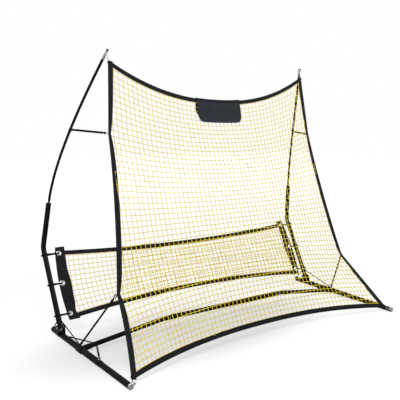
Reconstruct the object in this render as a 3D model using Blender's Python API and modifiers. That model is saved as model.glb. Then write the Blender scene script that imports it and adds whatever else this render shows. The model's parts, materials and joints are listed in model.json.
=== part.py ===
# Soccer rebound net: a large curved net and a low rear net on a folding tube frame.
# Metres, +Z up. X runs across the net, Y from the front of the frame to its rear.
# The origin is on the floor, at the centre of the frame's outline.

import math

import bmesh
import bpy
from mathutils import Matrix, Vector

# Fits

TOUCH_GAP = 0.0003
SLIDE_GAP = 0.0003
TUBE_SIDES = 16

# Rails

FRONT_WIDTH = 2.000
RAIL_SPLAY = 0.043
RAIL_LENGTH = 0.957
RAIL_DIAMETER = 0.035
TUBE_WALL = 0.0012
RAIL_JOINT_Y = 0.315
RAIL_INSERT = 0.100

# Crossbar

HUB_Y = 0.558
HUB_LENGTH = 0.060
HUB_WALL = 0.0035
ARM_SOCKET_LENGTH = 0.034
ARM_SOCKET_WALL = 0.0024
CROSSBAR_DIAMETER = 0.028
CROSSBAR_RISE = 0.070
CROSSBAR_BEND_FROM_RAIL = 0.516
CROSSBAR_BEND_LENGTH = 0.016
CROSSBAR_INSERT = 0.070
HUB_TO_ARM_BORE = 0.024

# Snap buttons

BUTTON_RADIUS = 0.0042
BUTTON_PROUD = 0.0030
BUTTON_ROUND = 0.0018
BUTTON_FLANGE_RADIUS = 0.0062
BUTTON_FLANGE_THICKNESS = 0.0012
BUTTON_FROM_TUBE_END = 0.018
SPRING_WIDTH = 0.0060
SPRING_THICKNESS = 0.0008
SPRING_LENGTH = 0.036
SPRING_DROP = 0.0060

# Uprights

PIVOT_FROM_RAIL_END = 0.113
PIVOT_CLEARANCE = 0.0025
UPRIGHT_DIAMETER = 0.032
UPRIGHT_WALL = 0.0015
UPRIGHT_TAIL = 0.008
LEG_LENGTH = 0.511
LEG_LEAN_DEG = 28.4
LEG_SPLAY_DEG = 1.1
TOP_LEG_LENGTH = 0.284
TOP_LEG_LEAN_DEG = -8.1
TOP_LEG_INWARD_DEG = 6.2
UPRIGHT_BEND_RADIUS = 0.075
BRACKET_LENGTH = 0.046
BRACKET_PLATE = 0.003
BRACKET_EAR_RADIUS = 0.015
BRACKET_EAR_ROUND = 0.012
BRACKET_SKIRT = 0.022
BRACKET_SIDE_GAP = 0.0014
PIVOT_PIN_RADIUS = 0.004
PIVOT_HEAD_RADIUS = 0.0075
PIVOT_HEAD_HEIGHT = 0.0035

# Poles

POLE_DIAMETER = 0.013
POLE_SOCKET_DEPTH = 0.045
SOCKET_FLANGE = 0.005
POLE_TIP_INWARD = 0.2255
POLE_TIP_Y = 0.7047
POLE_TIP_Z = 1.6627
POLE_TIP_LEAN = Vector((-0.3153, -0.4146, 0.8443))
POLE_STIFFNESS = 0.83
POLE_STEPS = 13
TIP_SLEEVE_LENGTH = 0.024
TIP_NECK_LENGTH = 0.014
TIP_WALL = 0.0016
TIP_NECK_RADIUS = 0.004

# Eyes and links

EYE_RADIUS = 0.0070
EYE_HOLE_RADIUS = 0.0032
EYE_THICKNESS = 0.0050
LINK_WIRE_RADIUS = 0.0018
LINK_HALF_WIDTH = 0.0070
FRONT_EYE_FORWARD = 0.005
FRONT_EYE_STANDOFF = 0.0055
FRONT_FLANGE_LENGTH = 0.006
FRONT_FLANGE_RADIUS = 0.0165
FRONT_SPIGOT_LENGTH = 0.025
REAR_CAP_LENGTH = 0.005
REAR_CAP_RADIUS = 0.0170
REAR_SPIGOT_LENGTH = 0.020

# Main net, its corners and ties measured inwards from the front ends of the rails

NET_TOP_CORNER_INWARD = 0.2328
NET_UPPER_TIE_INWARD = 0.2009
NET_LOWER_TIE_INWARD = 0.1087
NET_BOTTOM_CORNER_INWARD = 0.0215
NET_TOP_CENTRE = Vector((0.0, 0.6627, 1.4334))
NET_BOTTOM_CENTRE = Vector((0.0, 0.1826, 0.0621))
NET_EDGE_BOWS = (Vector((-0.0059, -0.0085, 0.0)), Vector((-0.0134, -0.0001, 0.0)),
                 Vector((-0.0004, -0.0008, 0.0)))
NET_SAG_POWER = 2.25
NET_COLUMNS = 15
NET_EDGE_ROWS = (3, 6, 3)
BORDER_WIDTH = 0.030
BORDER_THICKNESS = 0.004
STRAND_WIDTH = 0.005
STRAND_THICKNESS = 0.003

# Header flap over the top edge

FLAP_WIDTH = 0.345
FLAP_DROP = 0.153
FLAP_BACK_DROP = 0.105
FLAP_THICKNESS = 0.002
FLAP_STEPS = 8
FLAP_FOLD_STEPS = 6

# Rear net, measured along the legs from the pivot

REAR_NET_START = 0.033
REAR_NET_BELOW_BEND = 0.010
SLEEVE_TO_PIVOT = 0.0623
SLEEVE_WIDTH = 0.064
SLEEVE_BOW = 0.019
SLEEVE_THICKNESS = 0.004
GROMMET_RADIUS = 0.008
GROMMET_FROM_EDGE = 0.022
GROMMET_FROM_BOTTOM = 0.040
GROMMET_FROM_TOP = 0.041
REAR_COLUMNS = 26
REAR_ROWS = 4
REAR_TOP_SAG = 0.038
REAR_BOTTOM_BOW = 0.052
REAR_TAPE_WIDTH = 0.028
REAR_BOTTOM_MARGIN = 0.008
REAR_TOP_MARGIN = 0.026
TIE_CORD_RADIUS = 0.0025
TIE_POINTS = 8
TIE_LOOP = ((0.010, 0.0048), (0.0, 0.004), (-0.002, 0.0), (0.0, -0.004), (0.010, -0.0048))

# Straps and stays

UPPER_STRAP_RADIUS = 0.0040
STRAP_COLLAR_LENGTH = 0.016
STRAP_COLLAR_WALL = 0.0035
STRAP_BALL_RADIUS = 0.0085
STRAP_BALL_FROM_EDGE = 0.030
LOWER_STRAP_RADIUS = 0.0030
STAY_RADIUS = 0.0025
STAY_STUB = 0.008
REAR_STAY_FROM_PIVOT = 0.064
FRONT_STAY_FROM_JOINT = 0.054
STAY_ARM_OFFSET = 0.088
UPRIGHT_STAY_RADIUS = 0.0020
UPRIGHT_STAY_HEIGHT = 0.052
UPRIGHT_STAY_FROM_HUB = 0.018
UPRIGHT_STAY_FROM_RAIL_END = 0.015

# Worked out from the sizes above

HALF_WIDTH = FRONT_WIDTH / 2
FACET = math.cos(math.pi / TUBE_SIDES)
RAIL_RADIUS = RAIL_DIAMETER / 2
RAIL_HEIGHT = RAIL_RADIUS * FACET
FRONT_TUBE_RADIUS = RAIL_RADIUS - TUBE_WALL - SLIDE_GAP
ARM_RADIUS = CROSSBAR_DIAMETER / 2
CENTRE_TUBE_RADIUS = ARM_RADIUS + SLIDE_GAP + TUBE_WALL
UPRIGHT_RADIUS = UPRIGHT_DIAMETER / 2
BRACKET_WEB_TOP = RAIL_HEIGHT + RAIL_RADIUS + TOUCH_GAP + BRACKET_PLATE
PIVOT_Z = BRACKET_WEB_TOP + math.hypot(UPRIGHT_RADIUS, UPRIGHT_TAIL) + PIVOT_CLEARANCE
PIVOT_Y = RAIL_LENGTH - PIVOT_FROM_RAIL_END
PIVOT_X = HALF_WIDTH + RAIL_SPLAY * PIVOT_Y
CROSSBAR_BEND_X = HALF_WIDTH - CROSSBAR_BEND_FROM_RAIL
POLE_TIP = Vector((HALF_WIDTH - POLE_TIP_INWARD, POLE_TIP_Y, POLE_TIP_Z))
NET_TOP_CORNER = Vector((HALF_WIDTH - NET_TOP_CORNER_INWARD, 0.6817, 1.6365))
NET_UPPER_TIE = Vector((HALF_WIDTH - NET_UPPER_TIE_INWARD, 0.6258, 1.2180))
NET_LOWER_TIE = Vector((HALF_WIDTH - NET_LOWER_TIE_INWARD, 0.3585, 0.3575))
NET_BOTTOM_CORNER = Vector((HALF_WIDTH - NET_BOTTOM_CORNER_INWARD, 0.0279, 0.0291))
SLEEVE_OUTER_X = PIVOT_X - SLEEVE_TO_PIVOT
REAR_NET_HEIGHT = LEG_LENGTH - REAR_NET_START - REAR_NET_BELOW_BEND
REAR_NET_SPAN = REAR_NET_HEIGHT - REAR_BOTTOM_MARGIN - REAR_TOP_MARGIN
GROMMET_TOP = REAR_NET_HEIGHT - GROMMET_FROM_TOP
GROMMET_HEIGHTS = (GROMMET_FROM_BOTTOM, (GROMMET_FROM_BOTTOM + GROMMET_TOP) / 2, GROMMET_TOP)
LEG_UP = Vector((0.0, math.sin(math.radians(LEG_LEAN_DEG)), math.cos(math.radians(LEG_LEAN_DEG))))
LEG_FRONT = Vector((0.0, -LEG_UP.z, LEG_UP.y))
BEND_Y = PIVOT_Y + LEG_LENGTH * LEG_UP.y
FRONT_REACH = FRONT_EYE_FORWARD + EYE_RADIUS
CENTRE_Y = (BEND_Y + UPRIGHT_RADIUS - FRONT_REACH) / 2

parts = bpy.data.collections.new("soccer_rebound_net")
cutters = bpy.data.collections.new("cutters")


# Scene and materials

def clear_scene():
    for item in list(bpy.data.objects):
        bpy.data.objects.remove(item, do_unlink=True)
    bpy.context.scene.collection.children.link(parts)
    bpy.context.scene.collection.children.link(cutters)


def material(name, colour, roughness, metallic=0.0):
    found = bpy.data.materials.get(name)
    if found:
        return found
    made = bpy.data.materials.new(name)
    made.use_nodes = True
    shader = made.node_tree.nodes["Principled BSDF"]
    shader.inputs["Base Color"].default_value = (*colour, 1.0)
    shader.inputs["Roughness"].default_value = roughness
    shader.inputs["Metallic"].default_value = metallic
    return made


def black_steel():
    return material("black_painted_steel", (0.012, 0.012, 0.014), 0.32)


def bright_steel():
    return material("bright_steel", (0.72, 0.73, 0.75), 0.28, 1.0)


def black_plastic():
    return material("black_plastic", (0.015, 0.015, 0.016), 0.45)


def black_glass_fibre():
    return material("black_glass_fibre", (0.008, 0.008, 0.009), 0.38)


def black_webbing():
    return material("black_webbing", (0.018, 0.018, 0.024), 0.80)


def slate_fabric():
    return material("slate_fabric", (0.040, 0.046, 0.060), 0.75)


def yellow_twine():
    return material("yellow_twine", (0.80, 0.66, 0.30), 0.70)


# Building helpers

def place(point):
    return Vector((point[0], point[1] - CENTRE_Y, point[2]))


def mirrored(point, side):
    return Vector((side * point[0], point[1], point[2]))


def side_name(side):
    return "left" if side < 0 else "right"


def smooth(mesh):
    mesh.shade_smooth()
    mesh.set_sharp_from_angle(angle=math.radians(35))


def add_object(name, mesh, look, location=(0.0, 0.0, 0.0), rotation=None):
    made = bpy.data.objects.new(name, mesh)
    mesh.materials.clear()
    mesh.materials.append(look)
    made.matrix_world = Matrix.Translation(location) @ (rotation or Matrix.Identity(3)).to_4x4()
    parts.objects.link(made)
    return made


def frame_along(direction):
    along = Vector(direction).normalized()
    reference = Vector((0.0, 1.0, 0.0)) if abs(along.z) > 0.999 else Vector((0.0, 0.0, 1.0))
    across = reference.cross(along).normalized()
    return Matrix((across, along.cross(across), along)).transposed()


def finish_mesh(name, bm):
    bmesh.ops.recalc_face_normals(bm, faces=bm.faces)
    mesh = bpy.data.meshes.new(name)
    bm.to_mesh(mesh)
    bm.free()
    smooth(mesh)
    return mesh


def cylinder_mesh(name, radius, length, sides=TUBE_SIDES, caps=True):
    bm = bmesh.new()
    bmesh.ops.create_cone(bm, cap_ends=caps, segments=sides, radius1=radius, radius2=radius, depth=length)
    bmesh.ops.rotate(bm, verts=bm.verts, matrix=Matrix.Rotation(math.pi / sides, 3, "Z"))
    return finish_mesh(name, bm)


def straight_tube(name, start, end, radius, wall, look):
    start, end = place(start), place(end)
    mesh = cylinder_mesh(name, radius, (end - start).length, caps=False)
    made = add_object(name, mesh, look, (start + end) / 2, frame_along(end - start))
    shell = made.modifiers.new("wall", "SOLIDIFY")
    shell.thickness = wall
    shell.offset = -1.0
    return made


def curve_mesh(points, radius, origin, resolution=2, cyclic=False):
    curve = bpy.data.curves.new("route", "CURVE")
    curve.dimensions = "3D"
    curve.bevel_depth = radius
    curve.bevel_resolution = resolution
    curve.use_fill_caps = not cyclic
    spline = curve.splines.new("POLY")
    spline.points.add(len(points) - 1)
    for slot, point in zip(spline.points, points):
        slot.co = (*(Vector(point) - origin), 1.0)
    spline.use_cyclic_u = cyclic
    holder = bpy.data.objects.new("route", curve)
    bpy.context.scene.collection.objects.link(holder)
    bpy.context.view_layer.update()
    evaluated = holder.evaluated_get(bpy.context.evaluated_depsgraph_get())
    mesh = bpy.data.meshes.new_from_object(evaluated)
    bpy.data.objects.remove(holder, do_unlink=True)
    bm = bmesh.new()
    bm.from_mesh(mesh)
    bmesh.ops.remove_doubles(bm, verts=bm.verts, dist=0.00001)
    bmesh.ops.recalc_face_normals(bm, faces=bm.faces)
    bm.to_mesh(mesh)
    bm.free()
    smooth(mesh)
    return mesh


def rod(name, points, radius, look, origin=None, resolution=2, cyclic=False):
    placed = [place(point) for point in points]
    origin = place(origin) if origin is not None else placed[0]
    mesh = curve_mesh(placed, radius, origin, resolution, cyclic)
    mesh.name = name
    return add_object(name, mesh, look, origin)


def turned(name, profile, location, direction, look, closed=False):
    mesh = bpy.data.meshes.new(name)
    edges = [(i, i + 1) for i in range(len(profile) - 1)]
    if closed:
        edges.append((len(profile) - 1, 0))
    phase = math.pi / TUBE_SIDES
    spun = [(radius * math.cos(phase), radius * math.sin(phase), height) for radius, height in profile]
    mesh.from_pydata(spun, edges, [])
    made = add_object(name, mesh, look, place(location), frame_along(direction))
    spin = made.modifiers.new("turn", "SCREW")
    spin.steps = TUBE_SIDES
    spin.render_steps = TUBE_SIDES
    spin.use_merge_vertices = True
    spin.merge_threshold = 0.00001
    spin.use_smooth_shade = True
    return made


def cutter_from(name, mesh, location, rotation=None):
    made = bpy.data.objects.new(name, mesh)
    made.matrix_world = Matrix.Translation(location) @ (rotation or Matrix.Identity(3)).to_4x4()
    made.display_type = "WIRE"
    made.hide_render = True
    cutters.objects.link(made)
    return made


def combine(target, tool, operation):
    step = target.modifiers.new(operation.lower(), "BOOLEAN")
    step.object = tool
    step.operation = operation
    return step


def cylinder_tool(name, start, end, radius, sides=TUBE_SIDES):
    start, end = place(start), place(end)
    mesh = cylinder_mesh(name, radius, (end - start).length, sides)
    return cutter_from(name, mesh, (start + end) / 2, frame_along(end - start))


def box_mesh(name, size):
    bm = bmesh.new()
    bmesh.ops.create_cube(bm, size=1.0)
    bmesh.ops.scale(bm, verts=bm.verts, vec=size)
    return finish_mesh(name, bm)


def extruded(name, outlines, thickness, look, location, rotation):
    curve = bpy.data.curves.new(name, "CURVE")
    curve.dimensions = "2D"
    curve.fill_mode = "BOTH"
    curve.extrude = thickness / 2
    for outline in outlines:
        spline = curve.splines.new("POLY")
        spline.points.add(len(outline) - 1)
        for slot, point in zip(spline.points, outline):
            slot.co = (point[0], point[1], 0.0, 1.0)
        spline.use_cyclic_u = True
    holder = bpy.data.objects.new("outline", curve)
    bpy.context.scene.collection.objects.link(holder)
    bpy.context.view_layer.update()
    evaluated = holder.evaluated_get(bpy.context.evaluated_depsgraph_get())
    mesh = bpy.data.meshes.new_from_object(evaluated)
    bpy.data.objects.remove(holder, do_unlink=True)
    bm = bmesh.new()
    bm.from_mesh(mesh)
    bpy.data.meshes.remove(mesh)
    bmesh.ops.remove_doubles(bm, verts=bm.verts, dist=0.00001)
    return add_object(name, finish_mesh(name, bm), look, location, rotation)


def circle(radius, centre=(0.0, 0.0), count=12):
    turns = [2 * math.pi * i / count for i in range(count)]
    return [(centre[0] + radius * math.cos(turn), centre[1] + radius * math.sin(turn)) for turn in turns]


# Rails

def rail_point(y, side, height=RAIL_HEIGHT):
    return Vector((side * (HALF_WIDTH + RAIL_SPLAY * y), y, height))


def rail_direction(side):
    return Vector((side * RAIL_SPLAY, 1.0, 0.0)).normalized()


def button_hole(target, centre, direction, reach, label):
    hole = cylinder_tool(label, centre, centre + direction * reach, BUTTON_RADIUS + SLIDE_GAP)
    combine(target, hole, "DIFFERENCE")


def make_rail(side):
    name = side_name(side)
    rear_end = RAIL_LENGTH - REAR_CAP_LENGTH
    rear = straight_tube(name + "_rail_rear_tube", rail_point(RAIL_JOINT_Y, side), rail_point(rear_end, side),
                         RAIL_RADIUS, TUBE_WALL, black_steel())
    insert_end = RAIL_JOINT_Y + RAIL_INSERT
    front = straight_tube(name + "_rail_front_tube", rail_point(0.0, side), rail_point(insert_end, side),
                          FRONT_TUBE_RADIUS, TUBE_WALL, black_steel())
    button_at = rail_point(RAIL_JOINT_Y + BUTTON_FROM_TUBE_END, side)
    up = Vector((0.0, 0.0, 1.0))
    button_hole(rear, button_at, up, 2 * RAIL_RADIUS, name + "_rail_hole")
    button_hole(front, button_at, up, 2 * RAIL_RADIUS, name + "_rail_hole_inner")
    make_button(name + "_rail_snap_button", button_at, up, rail_direction(side), RAIL_RADIUS,
                FRONT_TUBE_RADIUS)
    make_end_cap(side)
    make_front_eye(side)


def make_end_cap(side):
    inner = RAIL_RADIUS - TUBE_WALL - SLIDE_GAP
    profile = [(0.0, REAR_CAP_LENGTH), (REAR_CAP_RADIUS - 0.002, REAR_CAP_LENGTH),
               (REAR_CAP_RADIUS, REAR_CAP_LENGTH - 0.002), (REAR_CAP_RADIUS, TOUCH_GAP),
               (inner, TOUCH_GAP), (inner, -REAR_SPIGOT_LENGTH), (0.0, -REAR_SPIGOT_LENGTH)]
    turned(side_name(side) + "_rail_end_cap", profile, rail_point(RAIL_LENGTH - REAR_CAP_LENGTH, side),
           rail_direction(side), black_plastic())


def make_front_eye(side):
    name = side_name(side) + "_rail_front_eye"
    inner = FRONT_TUBE_RADIUS - TUBE_WALL - SLIDE_GAP
    profile = [(0.0, FRONT_FLANGE_LENGTH), (FRONT_FLANGE_RADIUS - 0.002, FRONT_FLANGE_LENGTH),
               (FRONT_FLANGE_RADIUS, FRONT_FLANGE_LENGTH - 0.002), (FRONT_FLANGE_RADIUS, TOUCH_GAP),
               (inner, TOUCH_GAP), (inner, -FRONT_SPIGOT_LENGTH), (0.0, -FRONT_SPIGOT_LENGTH)]
    plug = turned(name, profile, rail_point(0.0, side), -rail_direction(side), bright_steel())
    add_eye(plug, front_eye_centre(side), front_eye_axis(side), name)


def front_eye_outward(side):
    toward = mirrored(NET_BOTTOM_CORNER, side) - rail_point(0.0, side)
    along = rail_direction(side)
    return (toward - along * toward.dot(along)).normalized()


def front_eye_axis(side):
    return rail_direction(side).cross(front_eye_outward(side)).normalized()


def front_eye_centre(side):
    tip = rail_point(0.0, side) - rail_direction(side) * FRONT_EYE_FORWARD
    return tip + front_eye_outward(side) * (FRONT_FLANGE_RADIUS + FRONT_EYE_STANDOFF)


def add_eye(target, centre, axis, name):
    half = axis.normalized() * EYE_THICKNESS / 2
    combine(target, cylinder_tool(name + "_disc", centre - half, centre + half, EYE_RADIUS), "UNION")
    bore = cylinder_tool(name + "_bore", centre - half * 3, centre + half * 3, EYE_HOLE_RADIUS)
    combine(target, bore, "DIFFERENCE")


def make_button(name, centre, direction, along, outer_radius, inner_radius):
    inner_wall = inner_radius - TUBE_WALL
    top = outer_radius + BUTTON_PROUD
    seat = math.sqrt(inner_wall ** 2 - BUTTON_FLANGE_RADIUS ** 2) * FACET - SLIDE_GAP
    base = seat - BUTTON_FLANGE_THICKNESS
    profile = [(0.0, top), (BUTTON_RADIUS * 0.6, top - BUTTON_ROUND * 0.2),
               (BUTTON_RADIUS, top - BUTTON_ROUND), (BUTTON_RADIUS, seat), (BUTTON_FLANGE_RADIUS, seat),
               (BUTTON_FLANGE_RADIUS, base), (0.0, base)]
    head = turned(name, profile, centre, direction, bright_steel())
    start = centre + direction * (base + SPRING_THICKNESS * 0.4)
    end = start + along * SPRING_LENGTH - direction * SPRING_DROP
    leaf_along = end - start
    across = direction.cross(along).normalized()
    turn = Matrix((leaf_along.normalized(), across, leaf_along.normalized().cross(across))).transposed()
    leaf = box_mesh(name + "_leaf", (leaf_along.length, SPRING_WIDTH, SPRING_THICKNESS))
    combine(head, cutter_from(name + "_leaf", leaf, place((start + end) / 2), turn), "UNION")


# Crossbar

def arm_direction(side):
    run = HALF_WIDTH + RAIL_SPLAY * HUB_Y - CROSSBAR_BEND_X
    return Vector((-side * run, 0.0, CROSSBAR_RISE)).normalized()


def hub_centre(side):
    return rail_point(HUB_Y, side)


def hub_radius():
    return RAIL_RADIUS + TOUCH_GAP + HUB_WALL


def make_hub(side):
    name = side_name(side) + "_crossbar_hub"
    centre = hub_centre(side)
    along = rail_direction(side)
    reach = arm_direction(side)
    outer = hub_radius()
    shell = cylinder_mesh(name, outer, HUB_LENGTH)
    hub = add_object(name, shell, black_steel(), place(centre), frame_along(along))
    socket_end = HUB_TO_ARM_BORE + ARM_SOCKET_LENGTH
    socket = cylinder_tool(name + "_socket", centre, centre + reach * socket_end,
                           ARM_RADIUS + SLIDE_GAP + ARM_SOCKET_WALL)
    rail_bore = cylinder_tool(name + "_rail_bore", centre - along * HUB_LENGTH, centre + along * HUB_LENGTH,
                              RAIL_RADIUS + TOUCH_GAP)
    arm_bore = cylinder_tool(name + "_arm_bore", centre + reach * HUB_TO_ARM_BORE,
                             centre + reach * socket_end * 2, ARM_RADIUS + SLIDE_GAP)
    floor_depth = 2 * outer
    below = box_mesh(name + "_floor", (8 * outer, 3 * HUB_LENGTH, floor_depth))
    floor_box = cutter_from(name + "_floor", below, place((centre.x, centre.y, -floor_depth / 2)))
    combine(hub, socket, "UNION")
    combine(hub, rail_bore, "DIFFERENCE")
    combine(hub, arm_bore, "DIFFERENCE")
    combine(hub, floor_box, "DIFFERENCE")


def crossbar_height():
    return RAIL_HEIGHT + CROSSBAR_RISE


def arm_points(side):
    bend = Vector((side * CROSSBAR_BEND_X, HUB_Y, crossbar_height()))
    slope = arm_direction(side)
    level = Vector((-side, 0.0, 0.0))
    start = hub_centre(side) + slope * (HUB_TO_ARM_BORE + TOUCH_GAP)
    before = bend - slope * CROSSBAR_BEND_LENGTH
    after = bend + level * CROSSBAR_BEND_LENGTH
    middle = (before + after + bend * 2) / 4
    return [start, before, middle, after, after + level * CROSSBAR_INSERT]


def bent_tube(name, points, radius, wall, look, origin=None):
    resolution = (TUBE_SIDES - 4) // 2
    made = rod(name, points, radius, look, origin, resolution)
    first = (points[0] - points[1]).normalized()
    last = (points[-1] - points[-2]).normalized()
    reach = 2 * wall
    inner_points = [points[0] + first * reach] + list(points[1:-1]) + [points[-1] + last * reach]
    placed = [place(point) for point in inner_points]
    inner = curve_mesh(placed, radius - wall, placed[0], resolution)
    combine(made, cutter_from(name + "_inside", inner, placed[0]), "DIFFERENCE")
    return made


def make_crossbar_arm(side):
    name = side_name(side)
    arm = bent_tube(name + "_crossbar_arm", arm_points(side), ARM_RADIUS, TUBE_WALL, black_steel())
    front = Vector((0.0, -1.0, 0.0))
    centre = crossbar_button_centre(side)
    button_hole(arm, centre, front, 2 * ARM_RADIUS, name + "_arm_hole")
    make_button(name + "_crossbar_snap_button", centre, front, Vector((-side, 0.0, 0.0)),
                CENTRE_TUBE_RADIUS, ARM_RADIUS)


def centre_tube_end():
    return CROSSBAR_BEND_X - CROSSBAR_BEND_LENGTH - SLIDE_GAP


def crossbar_button_centre(side):
    return Vector((side * (centre_tube_end() - BUTTON_FROM_TUBE_END), HUB_Y, crossbar_height()))


def make_centre_tube():
    end = centre_tube_end()
    tube = straight_tube("crossbar_centre_tube", Vector((-end, HUB_Y, crossbar_height())),
                         Vector((end, HUB_Y, crossbar_height())), CENTRE_TUBE_RADIUS, TUBE_WALL,
                         black_steel())
    for side in (-1, 1):
        button_hole(tube, crossbar_button_centre(side), Vector((0.0, -1.0, 0.0)), 2 * CENTRE_TUBE_RADIUS,
                    side_name(side) + "_centre_tube_hole")


def make_crossbar_stays(side):
    centre = hub_centre(side)
    slope = arm_direction(side)
    on_arm = centre + slope * STAY_ARM_OFFSET
    inward = Vector((-side, 0.0, 0.0))
    rear_y = PIVOT_Y - REAR_STAY_FROM_PIVOT
    front_y = RAIL_JOINT_Y + FRONT_STAY_FROM_JOINT
    ends = ((rear_y, 1.0, "rear"), (front_y, -1.0, "front"))
    for end_y, toward, label in ends:
        on_rail = rail_point(end_y, side)
        rail_out = on_rail + inward * (RAIL_RADIUS + TOUCH_GAP)
        arm_out = on_arm + Vector((0.0, toward * (ARM_RADIUS + TOUCH_GAP), 0.0))
        points = [rail_out, rail_out + inward * STAY_STUB,
                  arm_out + Vector((0.0, toward * STAY_STUB, 0.0)), arm_out]
        rod(side_name(side) + "_crossbar_stay_" + label, points, STAY_RADIUS, black_steel())


# Uprights

def pivot(side):
    return Vector((side * PIVOT_X, PIVOT_Y, PIVOT_Z))


def leg_direction(side):
    outward = side * math.tan(math.radians(LEG_SPLAY_DEG))
    return Vector((outward, LEG_UP.y, LEG_UP.z))


def leg_point(distance, side):
    return pivot(side) + leg_direction(side) * distance


def top_leg_direction(side):
    lean = math.radians(TOP_LEG_LEAN_DEG)
    inward = math.radians(TOP_LEG_INWARD_DEG)
    return Vector((-side * math.sin(inward), math.sin(lean), math.cos(lean) * math.cos(inward))).normalized()


def upright_points(side):
    start = leg_point(-UPRIGHT_TAIL, side)
    corner = leg_point(LEG_LENGTH, side)
    top = corner + top_leg_direction(side) * TOP_LEG_LENGTH
    turn = leg_direction(side).angle(top_leg_direction(side))
    tangent = UPRIGHT_BEND_RADIUS * math.tan(turn / 2)
    before = corner - leg_direction(side) * tangent
    after = corner + top_leg_direction(side) * tangent
    bend = []
    steps = 4
    for step in range(steps + 1):
        t = step / steps
        bend.append(before * (1 - t) ** 2 + corner * 2 * t * (1 - t) + after * t ** 2)
    return [start] + bend + [top]


def make_upright(side):
    name = side_name(side)
    points = upright_points(side)
    upright = bent_tube(name + "_upright_tube", points, UPRIGHT_RADIUS, UPRIGHT_WALL, black_steel(),
                        pivot(side))
    across = Vector((UPRIGHT_DIAMETER, 0.0, 0.0))
    hole = cylinder_tool(name + "_pivot_hole", pivot(side) - across, pivot(side) + across,
                         PIVOT_PIN_RADIUS + SLIDE_GAP)
    combine(upright, hole, "DIFFERENCE")
    make_bracket(side)
    make_pivot_bolt(side)
    make_pole_socket(side, points[-1])


def bracket_half_width():
    return max(RAIL_RADIUS, UPRIGHT_RADIUS) + BRACKET_SIDE_GAP


def make_bracket(side):
    name = side_name(side) + "_upright_bracket"
    inner = bracket_half_width()
    outer = inner + BRACKET_PLATE
    top = PIVOT_Z + BRACKET_EAR_RADIUS
    bottom = BRACKET_WEB_TOP - BRACKET_PLATE - BRACKET_SKIRT
    web_bottom = BRACKET_WEB_TOP - BRACKET_PLATE
    outline = [(-outer, bottom), (-inner, bottom), (-inner, web_bottom), (inner, web_bottom),
               (inner, bottom), (outer, bottom), (outer, top), (inner, top), (inner, BRACKET_WEB_TOP),
               (-inner, BRACKET_WEB_TOP), (-inner, top), (-outer, top)]
    upright_section = Matrix(((1.0, 0.0, 0.0), (0.0, 0.0, -1.0), (0.0, 1.0, 0.0)))
    bracket = extruded(name, [outline], BRACKET_LENGTH, black_steel(), place((side * PIVOT_X, PIVOT_Y, 0.0)),
                       upright_section)
    round_ears(bracket.data, top)
    across = Vector((2 * outer, 0.0, 0.0))
    bore = cylinder_tool(name + "_bore", pivot(side) - across, pivot(side) + across,
                         PIVOT_PIN_RADIUS + SLIDE_GAP)
    combine(bracket, bore, "DIFFERENCE")


def round_ears(mesh, top):
    bm = bmesh.new()
    bm.from_mesh(mesh)
    corners = [edge for edge in bm.edges
               if all(abs(vert.co.y - top) < 0.0001 for vert in edge.verts)
               and abs(edge.verts[0].co.z - edge.verts[1].co.z) < 0.0001]
    bmesh.ops.bevel(bm, geom=corners, offset=BRACKET_EAR_ROUND, segments=3, profile=0.5, affect="EDGES")
    bm.to_mesh(mesh)
    bm.free()


def make_pivot_bolt(side):
    half = bracket_half_width() + BRACKET_PLATE + TOUCH_GAP
    head = half + PIVOT_HEAD_HEIGHT
    edge = PIVOT_HEAD_HEIGHT * 0.4
    profile = [(0.0, head), (PIVOT_HEAD_RADIUS * 0.6, head), (PIVOT_HEAD_RADIUS, head - edge),
               (PIVOT_HEAD_RADIUS, half), (PIVOT_PIN_RADIUS, half), (PIVOT_PIN_RADIUS, -half),
               (PIVOT_HEAD_RADIUS, -half), (PIVOT_HEAD_RADIUS, edge - head), (PIVOT_HEAD_RADIUS * 0.6, -head),
               (0.0, -head)]
    turned(side_name(side) + "_upright_pivot_bolt", profile, pivot(side), Vector((1.0, 0.0, 0.0)),
           bright_steel())


# Poles

def pole_bottom(side):
    return upright_points(side)[-1] + top_leg_direction(side) * SOCKET_FLANGE


def make_pole_socket(side, upright_top):
    bore = POLE_DIAMETER / 2 + SLIDE_GAP
    spigot = UPRIGHT_RADIUS - UPRIGHT_WALL - SLIDE_GAP
    rim = UPRIGHT_RADIUS
    depth = POLE_SOCKET_DEPTH
    profile = [(bore, SOCKET_FLANGE), (rim - 0.003, SOCKET_FLANGE), (rim, SOCKET_FLANGE - 0.002),
               (rim, TOUCH_GAP), (spigot, TOUCH_GAP), (spigot, -depth), (bore, -depth)]
    turned(side_name(side) + "_pole_socket", profile, upright_top, top_leg_direction(side),
           black_plastic(), True)


def pole_route(side):
    start = pole_bottom(side)
    end = mirrored(POLE_TIP, side)
    start_pull = top_leg_direction(side) * POLE_STIFFNESS
    end_pull = mirrored(POLE_TIP_LEAN.normalized() * POLE_STIFFNESS, side)
    route = []
    for step in range(POLE_STEPS + 1):
        t = step / POLE_STEPS
        route.append(start * (2 * t ** 3 - 3 * t ** 2 + 1) + start_pull * (t ** 3 - 2 * t ** 2 + t)
                     + end * (3 * t ** 2 - 2 * t ** 3) + end_pull * (t ** 3 - t ** 2))
    return route


def make_pole(side):
    route = pole_route(side)
    foot = route[0] - top_leg_direction(side) * POLE_SOCKET_DEPTH
    rod(side_name(side) + "_flex_pole", [foot] + route, POLE_DIAMETER / 2, black_glass_fibre(), foot, 3)
    make_pole_tip(side, route)


def tip_direction(route):
    return (route[-1] - route[-2]).normalized()


def tip_eye_centre(route):
    return route[-1] + tip_direction(route) * (TIP_WALL + TIP_NECK_LENGTH + EYE_RADIUS * 0.8)


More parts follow.
